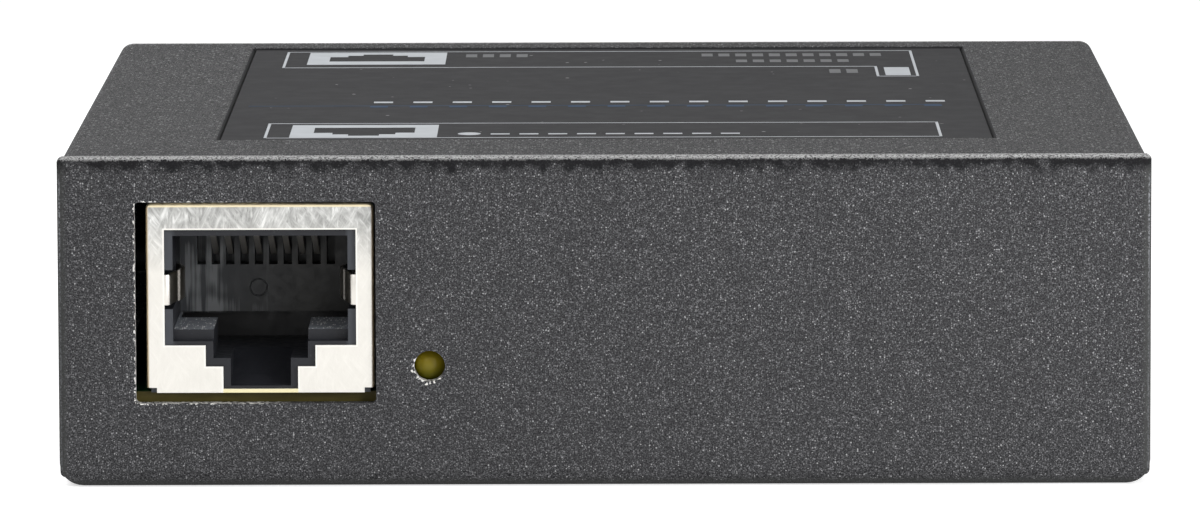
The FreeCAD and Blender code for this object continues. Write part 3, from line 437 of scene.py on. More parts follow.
def edge_paint(tree, where, grit, coat):
    """The paint's colour with painted shade in the slope round the label, and on the panels a painted
    shade line under the top edge, painted highlight lines near the sides and a painted highlight along
    the top edge."""
    place = axes(tree, where)
    across, along = unsigned(tree, place["X"]), unsigned(tree, place["Y"])
    on_panel = ramp_mm(tree, along, *PANEL_SHEET)
    below_top = maths(tree, "SUBTRACT", CASE_HEIGHT * MM, place["Z"])
    # Painted shade: darker paint down the slope round the label's recess.
    recess_shade = product(tree, ramp_mm(tree, below_top, *RECESS_DEPTH), ramp_mm(tree, across, *RECESS_SIDES))
    recess_shade = product(tree, recess_shade, ramp_mm(tree, along, *RECESS_ENDS))
    coat = blend_colour(tree, recess_shade, coat, (0.016, 0.016, 0.017))

    # Painted shade: a dark ragged band just under the panels' top edge.
    height = grit["Height"]
    ragged = product(tree, maths(tree, "SUBTRACT", height, 0.5), 0.7 * MM)
    patches = product(tree, maths(tree, "SUBTRACT", grit["Mottle"], 0.5), 2.4 * MM)
    below_top = maths(tree, "ADD", below_top, ragged)
    shade = ramp_mm(tree, maths(tree, "ADD", below_top, patches), *UNDER_HIGHLIGHT_SHADE)
    shade = product(tree, shade, on_panel, 0.92)
    coat = blend_colour(tree, shade, coat, (0.008, 0.008, 0.009))

    # Painted highlight: pale lines near the panels' sides, along their rounded edges.
    line = ramp_mm(tree, apart(tree, across, SIDE_HIGHLIGHT), *SIDE_HIGHLIGHT_HALF)
    line = product(tree, line, on_panel, ramp(tree, height, 0.42, 0.56))
    line = product(tree, line, ramp_mm(tree, place["Z"], *SIDE_HIGHLIGHT_RISE, 0.3, 0.8))
    line = product(tree, line, ramp_mm(tree, below_top, *SIDE_HIGHLIGHT_TOP))
    coat = blend_colour(tree, line, coat, (0.28, 0.29, 0.31))

    # Painted highlight: a pale ragged strip along the panels' top edge, where the rounded edge catches the
    # overhead light.
    bead = product(tree, on_panel, ramp_mm(tree, below_top, *TOP_EDGE_HIGHLIGHT))
    top_highlight_colour = blend_colour(tree, ramp(tree, height, *GRAIN), (0.08, 0.08, 0.08), (0.50, 0.50, 0.50))
    return blend_colour(tree, bead, coat, top_highlight_colour)


def chipped_openings(tree, where):
    """Where the paint has chipped off round the light's window and the front socket's opening."""
    window = {
        "Centre": (LIGHT_X * MM, 0, LIGHT_HEIGHT * MM),
        "Radius": LIGHT_WINDOW * MM,
        "Width": 0.3 * MM,
    }
    opening = {
        "Centre": (OPENING_MIDDLE[0] * MM, 0, OPENING_MIDDLE[1] * MM),
        "Half size": (OPENING_HALF[0] * MM, 1.0, OPENING_HALF[1] * MM),
        "Radius": OPENING_CORNER * MM,
        "Width": 0.13 * MM,
        "Towards": (-0.08, 0.0, 0.0),
    }
    lips = [placed(tree, CHIPPED_LIP, {"Vector": where, **lip})["Bare"] for lip in (window, opening)]
    return product(tree, largest(tree, *lips), ramp_mm(tree, axes(tree, where)["Y"], *ON_FRONT))


def printed_film():
    """Smooth dark grey film with a faint weave of handling marks and a little dust."""
    material, tree, shader, where = start_material("printed film", 0.42, specular=0.08)
    grit = placed(tree, GRIT, {"Vector": where, "Scale": 900.0})
    dust_and_ledge_specks = placed(tree, SPECKS, {"Vector": where, "Scale": 700.0, "Size": 0.13, "Empty": 0.55})
    ground = blend_colour(tree, grit["Mottle"], (0.022, 0.022, 0.0235), (0.028, 0.028, 0.030))
    feed_all(tree, shader, {
        "Base Color": blend_colour(tree, dust_and_ledge_specks["Specks"], ground, (0.36, 0.36, 0.36)),
        "Roughness": ramp(tree, grit["Height"], *NOISE, 0.7, 0.76),
    })
    roughen(tree, shader, grit["Height"], 0.001)
    return material


def ink(name, colour):
    """Screen-printed ink, slightly uneven."""
    material, tree, shader, where = start_material(name, 0.7, specular=0.1)
    grit = placed(tree, GRIT, {"Vector": where, "Scale": 5000.0})
    uneven = blend_colour(tree, grit["Mottle"], dimmed(colour, 0.8), colour)
    feed(tree, shader.inputs["Base Color"], uneven)
    roughen(tree, shader, grit["Height"], 0.003)
    return material


def plain_metal(name, colour, roughness, stretch=(1.0, 1.0, 1.0), metallic=1.0):
    """Plated metal with fine drawn streaks."""
    material, tree, shader, where = start_material(name, roughness, metallic)
    streaks = placed(tree, STREAKS, {"Vector": where, "Scale": 2500.0, "Stretch": stretch})
    feed_all(tree, shader, {
        "Base Color": blend_colour(tree, streaks["Tone"], dimmed(colour, 0.72), colour),
        "Roughness": ramp(tree, streaks["Height"], *NOISE, roughness - 0.06, roughness + 0.1),
    })
    roughen(tree, shader, streaks["Height"], 0.006)
    return material


def tinned_shield():
    """Bright tin plate, warm and pale low down and grey with crossing scratches along its top, with a
    painted warm reflection along the outer folds and a painted highlight round the mouth's sheared rim."""
    material, tree, shader, where = start_material("bright tin plate", 0.42, 1.0)
    upright = placed(tree, STREAKS, {"Vector": where, "Scale": 5200.0, "Stretch": (1.0, 1.0, 0.22)})
    scratches = upright["Tone"]
    for angle, scale in ((38, 3900.0), (-25, 3100.0)):
        turned = mapped(tree, where, Rotation=(0, math.radians(angle), 0))
        slanted = {"Vector": turned, "Scale": scale, "Stretch": (1.0, 1.0, 0.13)}
        scratches = largest(tree, scratches, placed(tree, STREAKS, slanted)["Tone"])
    place = axes(tree, where)
    height, across = place["Z"], apart(tree, place["X"], SOCKET_X)
    contrast = ramp(tree, scratches, 0.15, 0.9)
    streaked = blend_colour(tree, contrast, (0.25, 0.25, 0.24), (0.72, 0.72, 0.70))
    pale = blend_colour(tree, scratches, (0.655, 0.635, 0.59), (0.735, 0.715, 0.67))
    colour = blend_colour(tree, ramp_mm(tree, height, *SHIELD_SCRATCHED), pale, streaked)

    on_face = ramp_mm(tree, unsigned(tree, place["Y"]), *SHIELD_FRONT)
    # Painted reflection: warm gold on the rounded outer folds.
    side_fold = ramp_mm(tree, across, *SHIELD_SIDE_FOLD)
    colour = blend_colour(tree, product(tree, on_face, side_fold), colour, (0.62, 0.48, 0.28))
    top_fold = ramp_mm(tree, height, *SHIELD_TOP_FOLD)
    colour = blend_colour(tree, product(tree, on_face, top_fold), colour, (0.80, 0.70, 0.48))
    # Painted highlight: a bright band round the mouth's sheared rim.
    rim = product(tree, on_face, mouth_rim_highlight(tree, across, height))
    colour = blend_colour(tree, rim, colour, (0.78, 0.765, 0.72))
    under_latch = ramp_mm(tree, height, *UNDER_LATCH)
    under_latch = product(tree, under_latch, ramp_mm(tree, across, *UNDER_LATCH_SIDES))
    feed_all(tree, shader, {
        "Base Color": blend_colour(tree, under_latch, colour, (0.72, 0.66, 0.42)),
        "Roughness": ramp(tree, upright["Height"], *NOISE, 0.36, 0.52),
    })
    roughen(tree, shader, upright["Height"], 0.008)
    return material


def mouth_rim_highlight(tree, across, height):
    """A narrow band round the stepped mouth, for the painted highlight on its sheared rim. It reaches over
    the mouth too, where there is no metal.
    """
    steps = []
    for half, low in MOUTH_STEPS:
        foot = BOARD_TOP + low
        beside = ramp_mm(tree, across, half + RIM_HIGHLIGHT_OUTER, half + RIM_HIGHLIGHT_INNER)
        above = ramp_mm(tree, height, foot - RIM_HIGHLIGHT_OUTER, foot - RIM_HIGHLIGHT_INNER)
        steps.append(product(tree, beside, above))
    top = BOARD_TOP + MOUTH_TOP
    below = ramp_mm(tree, height, top + RIM_HIGHLIGHT_OUTER, top + RIM_HIGHLIGHT_INNER)
    return product(tree, largest(tree, *steps), below)


def spring_plate():
    """The ground springs: pale tin where they leave the shield's face, and painted shade further in but
    for one painted highlight line along the bend."""
    material, tree, shader, where = start_material("spring plate", 0.3)
    streaks = placed(tree, STREAKS, {"Vector": where, "Scale": 2500.0, "Stretch": (1.0, 1.0, 0.15)})
    # Painted shade: the tin is darker further into the socket.
    dark = blend_colour(tree, streaks["Tone"], (0.24, 0.215, 0.175), (0.56, 0.51, 0.42))
    place = axes(tree, where)
    across = apart(tree, place["X"], SOCKET_X)
    # Painted highlight: a bright line along the bend.
    line = ramp_mm(tree, apart(tree, across, SPRING_HIGHLIGHT), *SPRING_HIGHLIGHT_HALF)
    colour = blend_colour(tree, line, dark, (0.42, 0.40, 0.37))
    near_face = ramp_mm(tree, unsigned(tree, place["Y"]), *SPRING_FRONT)
    feed_all(tree, shader, {
        "Base Color": blend_colour(tree, near_face, colour, (0.66, 0.635, 0.59)),
        "Metallic": maths(tree, "SUBTRACT", 1.0, line),
    })
    roughen(tree, shader, streaks["Height"], 0.006)
    return material


def resin_colour(tree, shader, where, colour, roughness, grain=0.012, scale=2600.0):
    """The colour of moulded resin with a fine grain. Sets its uneven gloss and its bumps too."""
    inputs = {"Vector": where, "Scale": scale, "Grains from": 0.66, "Grains to": 0.82}
    grit = placed(tree, GRIT, inputs)
    pale = tuple(min(channel * 1.6 + 0.02, 1.0) for channel in colour)
    ground = blend_colour(tree, grit["Mottle"], dimmed(colour, 0.8), colour)
    gloss = ramp(tree, grit["Height"], *NOISE, roughness - 0.08, roughness + 0.08)
    feed(tree, shader.inputs["Roughness"], gloss)
    roughen(tree, shader, grit["Height"], grain)
    return blend_colour(tree, grit["Grains"], ground, pale)


def moulded_plastic(name, colour, roughness, **pattern):
    """Moulded resin with a fine grain and uneven gloss."""
    material, tree, shader, where = start_material(name, roughness, specular=0.3)
    grained = resin_colour(tree, shader, where, colour, roughness, **pattern)
    feed(tree, shader.inputs["Base Color"], grained)
    return material


def socket_resin():
    """Black moulded resin: a painted highlight on the mouth's rim, paler and speckled on the plug's
    ledges, and on the wall at the back painted light on its left, upright bands of painted reflection and
    painted shade at its foot."""
    material, tree, shader, where = start_material("black socket resin", 0.45, specular=0.3)
    colour = resin_colour(tree, shader, where, (0.015, 0.016, 0.020), 0.45)
    place = axes(tree, where)
    depth, across = unsigned(tree, place["Y"]), apart(tree, place["X"], SOCKET_X)
    # Painted highlight: the mouth's rim is paler.
    rim = product(tree, ramp_mm(tree, across, *RESIN_SIDES), ramp_mm(tree, depth, *RESIN_FRONT))
    colour = blend_colour(tree, rim, colour, (0.050, 0.054, 0.062))

    # The ledges' upward faces are paler and speckled.
    near_ledge = ramp_mm(tree, apart(tree, place["Z"], BOARD_TOP + LEDGE_HEIGHT), *LEDGE_REACH)
    ledge = product(tree, ramp(tree, facing_up(tree), *LEDGE_LEVEL), near_ledge)
    drawn = mapped(tree, where, Scale=(1.0, 0.15, 1.0))
    dust_and_ledge_specks = placed(tree, SPECKS, {"Vector": drawn, "Scale": 8000.0, "Size": 0.6, "Empty": 0.0})
    pale_speckled = blend_colour(tree, dust_and_ledge_specks["Specks"], (0.17, 0.185, 0.21), (1.0, 1.0, 1.0))
    colour = blend_colour(tree, ledge, colour, pale_speckled)

    # Painted light on the back wall's left, painted reflections in upright bands, and painted shade at its
    # foot.
    at_back = ramp_mm(tree, depth, *BACK_WALL)
    lit_left = ramp_mm(tree, place["X"], *BACK_WALL_LIT)
    wall = blend_colour(tree, lit_left, (0.028, 0.028, 0.027), (0.066, 0.070, 0.077))
    colour = blend_colour(tree, at_back, colour, wall)
    streaks = placed(tree, STREAKS, {"Vector": where, "Scale": 1500.0, "Stretch": (1.0, 1.0, 0.03)})
    bands = product(tree, ramp(tree, streaks["Tone"], 0.22, 0.42), at_back)
    bands = product(tree, bands, ramp_mm(tree, place["X"], *BACK_WALL_REFLECTIONS))
    colour = blend_colour(tree, bands, colour, (0.26, 0.27, 0.28))
    foot = product(tree, ramp_mm(tree, place["Z"], *BACK_WALL_SHADE), at_back)
    feed(tree, shader.inputs["Base Color"], blend_colour(tree, foot, colour, (0.010, 0.010, 0.011)))
    return material


def board_laminate():
    """Solder mask on the board's two faces, and bare olive laminate at its edges."""
    material, tree, shader, where = start_material("board laminate", 0.45, specular=0.15)
    layers = placed(tree, STREAKS, {"Vector": where, "Scale": 3000.0, "Stretch": (0.15, 0.15, 1.0)})
    edge = blend_colour(tree, layers["Tone"], (0.055, 0.045, 0.010), (0.100, 0.082, 0.022))
    mask = blend_colour(tree, layers["Tone"], (0.012, 0.05, 0.014), (0.02, 0.075, 0.02))
    level = ramp(tree, unsigned(tree, facing_up(tree)), 0.4, 0.6)
    feed(tree, shader.inputs["Base Color"], blend_colour(tree, level, edge, mask))
    roughen(tree, shader, layers["Height"], 0.01)
    return material


def amber_lens():
    """Diffused amber resin, unlit, with painted shade that makes its lower half greener and darker."""
    material, tree, shader, where = start_material("amber lens", 0.25, specular=0.22)
    grit = placed(tree, GRIT, {"Vector": where, "Scale": 1500.0})
    lit_upper = blend_colour(tree, grit["Mottle"], (0.20, 0.155, 0.006), (0.26, 0.20, 0.009))
    # Painted shade: the lower half greener and darker.
    height = ramp_mm(tree, axes(tree, where)["Z"], *LENS_SHADE_TO_LIT)
    feed(tree, shader.inputs["Base Color"], blend_colour(tree, height, (0.105, 0.10, 0.006), lit_upper))
    roughen(tree, shader, grit["Height"], 0.004)
    return material


FINISHES = {
    "case_paint": charcoal_powder_coat(),
    "label_film": printed_film(),
    "black_screw": plain_metal("black zinc", (0.09, 0.09, 0.095), 0.4),
    "plated_screw": plain_metal("zinc plate", (0.62, 0.62, 0.60), 0.35),
    "standoff_steel": plain_metal("turned steel", (0.6, 0.6, 0.58), 0.3, (1.0, 1.0, 0.2)),
    "board_laminate": board_laminate(),
    "tinned_shield": tinned_shield(),
    "spring_plate": spring_plate(),
    "socket_plastic": socket_resin(),
    "gold_contact": plain_metal("gold flash", (0.37, 0.352, 0.325), 0.4, (1.0, 0.2, 0.2), 0.3),
    "nickel_terminal": plain_metal("nickel plate", (0.7, 0.68, 0.64), 0.3),
    "indicator_lens": amber_lens(),
    "chip_resin": moulded_plastic("chip resin", (0.03, 0.03, 0.031), 0.55, grain=0.01),
    "ceramic_chip": moulded_plastic("fired ceramic", (0.36, 0.30, 0.22), 0.6, grain=0.006),
    "ferrite": moulded_plastic("ground ferrite", (0.06, 0.06, 0.063), 0.5, grain=0.02, scale=1800.0),
    "bobbin_plastic": moulded_plastic("bobbin resin", (0.03, 0.028, 0.026), 0.5),
    "winding_tape": moulded_plastic("winding tape", (0.62, 0.42, 0.05), 0.35, grain=0.004, scale=900.0),
    "capacitor_sleeve": moulded_plastic("shrink sleeve", (0.02, 0.03, 0.08), 0.3, grain=0.004, scale=900.0),
}
WHITE_INK = ink("white ink", (0.56, 0.585, 0.615))
GREY_INK = ink("grey ink", (0.17, 0.175, 0.18))
BLUE_INK = ink("blue ink", (0.028, 0.056, 0.105))

for part in frame["record"]["subparts"]:
    for place in frame["nodes"][part["node"]].material_slots:
        place.material = FINISHES[part["material_slot"]]


# New pieces

def add_object(name, shape, material):
    """Turns a mesh in metres into an object with one material."""
    mesh = bpy.data.meshes.new(name)
    shape.to_mesh(mesh)
    shape.free()
    mesh.materials.append(material)
    made = bpy.data.objects.new(name, mesh)
    bpy.context.scene.collection.objects.link(made)
    return made


def finished_piece(name, shape, material):
    """Turns a mesh in millimetres into a piece that rides on the case."""
    bmesh.ops.scale(shape, vec=(MM, MM, MM), verts=shape.verts)
    bmesh.ops.remove_doubles(shape, verts=shape.verts, dist=SAME_PLACE * MM)
    bmesh.ops.recalc_face_normals(shape, faces=shape.faces)
    piece = add_object(name, shape, material)
    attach(piece, "root")
    return piece


def smooth(piece):
    """Smooth shading on every face of a piece."""
    for face in piece.data.polygons:
        face.use_smooth = True
    return piece


def only(parts, kind):
    """Those parts of a mesh that are of one kind."""
    return [part for part in parts if isinstance(part, kind)]


def spin_round(shape, verts, edges, steps):
    """Turns a profile once round the Y axis."""
    turn = {"cent": (0, 0, 0), "axis": (0, 1, 0), "angle": 2 * math.pi}
    bmesh.ops.spin(shape, geom=verts + edges, steps=steps, use_merge=True, **turn)
    bmesh.ops.remove_doubles(shape, verts=shape.verts, dist=SAME_PLACE)


# The print on the label. Its places are measured before the whole print moves along Y by PRINT_SHIFT.

PRINT_SHIFT = -1.3
INK_FOOT = FILM_TOP - 0.01
INK_THICKNESS = 0.022
RULE = 0.2  # width of the ruled lines
BLUE_RULE = 0.25
FRONT_BOX = ((-24.1, -25.4), (23.9, -25.4), (23.9, -16.0), (-24.1, -16.0), (-24.1, -25.4))
REAR_BOX = (
    (-24.6, 35.0), (-24.6, 23.2), (20.6, 23.2), (20.6, 15.9), (23.6, 15.9), (23.6, 35.0), (-24.6, 35.0)
)
FRONT_SYMBOL = (-22.4, -11.9, -25.4, -17.1)  # X limits and Y limits
REAR_SYMBOL = (-22.9, -12.3, 25.5, 34.4)
POWER_MARK = (21.2, 23.1, 16.6, 22.4)
DOT_PLACE = (-9.63, -22.94, INK_FOOT)
DOT_RADIUS = 0.82
BLUE_LINE = ((-26.0, -4.2), (24.5, -4.2))

# Rows of dashes in place of words: the first one's X, how many, spacing, width, and Y limits
WHITE_DASHES = ((-17.0, 15, 2.9, 1.4, -2.2, -1.3), (-8.1, 9, 2.05, 1.35, -23.4, -22.8))
BLUE_DASHES = ((-17.2, 15, 2.9, 1.3, -5.2, -4.4),)
GREY_DASHES = (
    (-10.8, 4, 1.3, 0.85, 30.8, 33.0),
    (7.4, 11, 1.3, 0.85, 31.0, 33.0),
    (10.0, 7, 1.3, 0.85, 26.6, 28.4),
    (17.0, 2, 1.3, 0.85, 18.4, 21.0),
)


def raise_ink(shape, faces):
    """Gives flat areas of ink their thickness."""
    raised = bmesh.ops.extrude_face_region(shape, geom=faces)["geom"]
    bmesh.ops.translate(shape, vec=(0, 0, INK_THICKNESS), verts=only(raised, bmesh.types.BMVert))


def printed_area(shape, x0, x1, y0, y1):
    """Adds one rectangle of ink, a hair above the film."""
    corners = ((x0, y0), (x1, y0), (x1, y1), (x0, y1))
    bottom = [shape.verts.new((x, y, INK_FOOT)) for x, y in corners]
    raise_ink(shape, bmesh.ops.contextual_create(shape, geom=bottom)["faces"])


def printed_lines(shape, points, width):
    """Adds ruled lines of ink between neighbouring points, each along X or Y."""
    half = width / 2
    for (x0, y0), (x1, y1) in zip(points, points[1:]):
        left, right = sorted((x0, x1))
        low, high = sorted((y0, y1))
        printed_area(shape, left - half, right + half, low - half, high + half)


def printed_dot(shape):
    """Adds a round dot of ink."""
    rim = bmesh.ops.create_circle(shape, cap_ends=True, segments=24, radius=DOT_RADIUS)["verts"]
    bmesh.ops.translate(shape, vec=DOT_PLACE, verts=rim)
    raise_ink(shape, list({face for vert in rim for face in vert.link_faces}))


def printed_dashes(shape, rows):
    """Adds rows of plain dashes."""
    for first, count, spacing, width, low, high in rows:
        for index in range(count):
            x = first + index * spacing
            printed_area(shape, x, x + width, low, high)


def socket_symbol(shape, x0, x1, y0, y1, towards):
    """Adds a solid rectangle with a hole shaped like a modular socket, its latch side towards the
    front (-1) or the rear (1)."""
    border, step, neck = 1.65, 1.35, 2.5
    inner = [x0 + border, x0 + border + step, x0 + neck + border]
    columns = inner + [x0 + x1 - x for x in reversed(inner)]
    depths = [1.3, 2.2, 3.2, 6.6]
    near, way = (y0, 1) if towards < 0 else (y1, -1)
    rows = [near + way * depth for depth in depths]
    hole = [
        (columns[0], columns[5], rows[2], rows[3]),
        (columns[1], columns[4], rows[1], rows[2]),
        (columns[2], columns[3], rows[0], rows[1]),
    ]
    lines_x, lines_y = [x0] + columns + [x1], sorted([y0, y1] + rows)
    for left, right in zip(lines_x, lines_x[1:]):
        for low, high in zip(lines_y, lines_y[1:]):
            x, y = (left + right) / 2, (low + high) / 2
            if not any(a < x < b and min(c, d) < y < max(c, d) for a, b, c, d in hole):
                printed_area(shape, left, right, low, high)


def label_print():
    """The label's ruled boxes, socket symbols, marks and rows of plain dashes."""
    white = bmesh.new()
    printed_lines(white, FRONT_BOX, RULE)
    socket_symbol(white, *FRONT_SYMBOL, -1)
    printed_lines(white, REAR_BOX, RULE)
    socket_symbol(white, *REAR_SYMBOL, 1)
    printed_area(white, *POWER_MARK)
    printed_dot(white)
    printed_dashes(white, WHITE_DASHES)
    grey = bmesh.new()
    printed_dashes(grey, GREY_DASHES)
    blue = bmesh.new()
    printed_lines(blue, BLUE_LINE, BLUE_RULE)
    printed_dashes(blue, BLUE_DASHES)
    prints = (
        (white, "label_print", WHITE_INK),
        (grey, "label_captions", GREY_INK),
        (blue, "label_rule", BLUE_INK),
    )
    for shape, name, material in prints:
        bmesh.ops.translate(shape, vec=(0, PRINT_SHIFT, 0), verts=shape.verts)
        finished_piece(name, shape, material)


# The light

def indicator_lens():
    """The smooth domed lens that stands for the indicator's turned solid."""
    (x0, tip, z0), (x1, end, z1) = [[value / MM for value in corner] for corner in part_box("led_lens")]
    radius, flange, flange_depth = 1.5, (x1 - x0) / 2, 1.0
    dome_steps, turn_steps = 12, 48
    profile = [(0.0, 0.0)]
    for step in range(1, dome_steps + 1):
        angle = math.radians(90 * step / dome_steps)
        profile.append((radius * math.sin(angle), radius * (1 - math.cos(angle))))
    back = end - tip
    profile += [(radius, back - flange_depth), (flange, back - flange_depth), (flange, back), (0.0, back)]
    shape = bmesh.new()
    points = [shape.verts.new((across, along, 0)) for across, along in profile]
    spin_round(shape, points, [shape.edges.new(pair) for pair in zip(points, points[1:])], turn_steps)
    bmesh.ops.translate(shape, vec=((x0 + x1) / 2, tip, (z0 + z1) / 2), verts=shape.verts)
    lens = finished_piece("indicator_dome", shape, FINISHES["indicator_lens"])
    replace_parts(smooth(lens), "led_lens")


# The sockets' shields

SAME_WAY = 0.99  # how closely a face's outside has to follow a direction, where 1 is exactly
SHARP = 1.0  # an edge that turns by more than this, in radians, is a fold


def into_socket(shape, turn):
    """Moves a mesh from the socket's own place to the front socket (1) or the rear one (-1)."""
    bmesh.ops.translate(shape, vec=(SOCKET_X * turn, FRONT_FACE + SOCKET_FACE, BOARD_TOP), verts=shape.verts)
    if turn < 0:
        half_turn = Matrix.Rotation(math.pi, 3, "Z")
        bmesh.ops.rotate(shape, cent=(0, 0, 0), matrix=half_turn, verts=shape.verts)


def wall_faces(shape, wall):
    """The faces of a mesh whose outsides face the direction wall."""
    shape.normal_update()
    return [face for face in shape.faces if face.normal.dot(wall) > SAME_WAY]


def split_wall(shape, wall, across, places):
    """Cuts the flat wall whose outside faces wall, at places along the across axis."""
    for place in places:
        faces = wall_faces(shape, wall)
        edges = {edge for face in faces for edge in face.edges}
        verts = {vert for face in faces for vert in face.verts}
        parts = faces + list(edges) + list(verts)
        bmesh.ops.bisect_plane(shape, geom=parts, plane_co=across * place, plane_no=across, dist=TINY)


def open_wall(shape, wall, gone):
    """Removes the cells of a wall whose middles gone picks out."""
    cells = [face for face in wall_faces(shape, wall) if gone(face.calc_center_median())]
    bmesh.ops.delete(shape, geom=cells, context="FACES")


def anywhere(point):
    """Picks out every cell of a wall."""
    return True


def in_mouth(point):
    """Whether a point of the shield's face lies in its mouth or below its notched corners."""
    mouth = point.z < MOUTH_TOP and any(abs(point.x) < half and point.z > low for half, low in MOUTH_STEPS)
    return mouth or in_notch(point)


def in_notch(point):
    """Whether a point of the shield's face or back lies below its notched corners."""
    return point.z < NOTCH_HEIGHT and abs(point.x) > SHIELD_HALF - NOTCH_WIDTH


def below_side(point):
    """Whether a point of the shield's side lies in its window or under its lower edge."""
    window = WINDOW[0] < point.y < WINDOW[1] and WINDOW[2] < point.z < WINDOW[3]
    return window or (point.z < NOTCH_HEIGHT and not TAB[0] < point.y < TAB[1])


def at_side_foot(vert):
    """Whether a corner of the shield lies at the foot of one of its sides."""
    return vert.co.z < TINY and abs(vert.co.x) > SHIELD_HALF - TINY


def beside_roof(edge):
    """Whether an edge runs from front to back along the roof."""
    first, second = (vert.co for vert in edge.verts)
    return min(first.z, second.z) > SHIELD_HEIGHT - TINY and abs(first.x - second.x) < TINY


def shield_shell():
    """The shield's shell as a single folded skin, with its mouth, windows, notches and solder tabs."""
    x_axis, y_axis, z_axis = Vector((1, 0, 0)), Vector((0, 1, 0)), Vector((0, 0, 1))
    shape = bmesh.new()
    bmesh.ops.create_cube(shape, size=1.0)
    bmesh.ops.scale(shape, vec=(2 * SHIELD_HALF, SHIELD_DEPTH, SHIELD_HEIGHT), verts=shape.verts)
    bmesh.ops.translate(shape, vec=(0, SHIELD_DEPTH / 2, SHIELD_HEIGHT / 2), verts=shape.verts)
    open_wall(shape, -z_axis, anywhere)
    halves = [half for half, low in MOUTH_STEPS] + [SHIELD_HALF - NOTCH_WIDTH]
    split_wall(shape, -y_axis, x_axis, [side * half for half in halves for side in (-1, 1)])
    split_wall(shape, -y_axis, z_axis, [MOUTH_TOP, NOTCH_HEIGHT] + [low for half, low in MOUTH_STEPS])
    open_wall(shape, -y_axis, in_mouth)
    split_wall(shape, y_axis, x_axis, [side * halves[-1] for side in (-1, 1)])
    split_wall(shape, y_axis, z_axis, [NOTCH_HEIGHT])
    open_wall(shape, y_axis, in_notch)
    for side in (x_axis, -x_axis):
        split_wall(shape, side, y_axis, list(WINDOW[:2]) + list(TAB[:2]))
        split_wall(shape, side, z_axis, list(WINDOW[2:]) + [NOTCH_HEIGHT])
        open_wall(shape, side, below_side)
    feet = [edge for edge in shape.edges if all(at_side_foot(vert) for vert in edge.verts)]
    tabs = bmesh.ops.extrude_edge_only(shape, edges=feet)["geom"]
    bmesh.ops.translate(shape, vec=(0, 0, TAB[2]), verts=only(tabs, bmesh.types.BMVert))
    bend(shape, SHIELD_CORNER, [edge for edge in sharp_folds(shape) if beside_roof(edge)])
    bend(shape, SHIELD_FOLD, sharp_folds(shape))
    return shape


def sharp_folds(shape):
    """The edges at which a skin is folded."""
    shape.normal_update()
    return [edge for edge in shape.edges if len(edge.link_faces) == 2 and edge.calc_face_angle() > SHARP]


def bend(shape, radius, folds):
    """Rounds some of a skin's folds."""
    rounding = {"offset": radius, "segments": 3, "profile": 0.5, "affect": "EDGES", "material": -1}
    for face in bmesh.ops.bevel(shape, geom=folds, **rounding)["faces"]:
        face.smooth = True


def with_thickness(piece, sheet, offset, edge):
    """Gives a skin the thickness of its sheet, inward (-1) or to both sides (0), and softens the
    sheared edges."""
    solid = piece.modifiers.new("sheet", "SOLIDIFY")
    solid.thickness = sheet * MM
    solid.offset = offset
    soft = piece.modifiers.new("sheared edges", "BEVEL")
    soft.width = edge * MM
    soft.segments = 2
    soft.limit_method = "ANGLE"
    soft.angle_limit = math.radians(50)
    return piece


def spring_path():
    """The middle line of a ground spring's strip: round the edge of the shield's face, in towards the
    plug, and out again at its free end."""
    corner_steps, bow_steps, end_steps = 6, 16, 6
    side = SPRING_SIDE + SHIELD_SHEET / 2
    face = SPRING_FACE + SHIELD_SHEET / 2
    path = [(SPRING_ROOT, face), (side + SPRING_CORNER, face)]
    for step in range(1, corner_steps + 1):
        angle = math.radians(90 * step / corner_steps)
        inward = SPRING_CORNER * (1 - math.sin(angle))
        path.append((side + inward, face + SPRING_CORNER * (1 - math.cos(angle))))
    start = face + SPRING_CORNER
    for step in range(1, bow_steps + 1):
        share = step / bow_steps
        swing = (1 - math.cos(math.pi * share)) / 2
        along = start + (SPRING_BOW[1] - start) * share
        path.append((side + (SPRING_BOW[0] - SPRING_SIDE) * swing, along))
    for step in range(1, end_steps + 1):
        share = step / end_steps
        swing = 1 - math.cos(math.pi / 2 * share)
        across = SPRING_BOW[0] + SHIELD_SHEET / 2 + (SPRING_END[0] - SPRING_BOW[0]) * swing
        path.append((across, SPRING_BOW[1] + (SPRING_END[1] - SPRING_BOW[1]) * share))
    return path


def ground_springs():
    """The two tongues that curve in from the sides of the mouth and press on the plug's shield."""
    path = spring_path()
    low, high = (SPRING_HEIGHT + up * SPRING_WIDTH / 2 for up in (-1, 1))
    shape = bmesh.new()
    for side in (-1, 1):
        first = [shape.verts.new((side * path[0][0], path[0][1], height)) for height in (low, high)]
        rim = [shape.edges.new(first)]
        for (x0, y0), (x1, y1) in zip(path, path[1:]):
            grown = bmesh.ops.extrude_edge_only(shape, edges=rim)["geom"]
            rim = only(grown, bmesh.types.BMEdge)
            move = (side * (x1 - x0), y1 - y0, 0)
            bmesh.ops.translate(shape, vec=move, verts=only(grown, bmesh.types.BMVert))
    for face in shape.faces:
        face.smooth = True
    return shape


def socket_shield(end, turn):
    """The folded shield and its ground springs, which stand for the shield's plain solid."""
    shell = shield_shell()
    into_socket(shell, turn)
    shell = finished_piece(f"{end}_shield_shell", shell, FINISHES["tinned_shield"])
    springs = ground_springs()
    into_socket(springs, turn)
    springs = finished_piece(f"{end}_ground_springs", springs, FINISHES["spring_plate"])
    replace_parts(with_thickness(shell, SHIELD_SHEET, -1, 0.045), f"{end}_jack_shield")
    with_thickness(springs, SHIELD_SHEET, 0, 0.04)


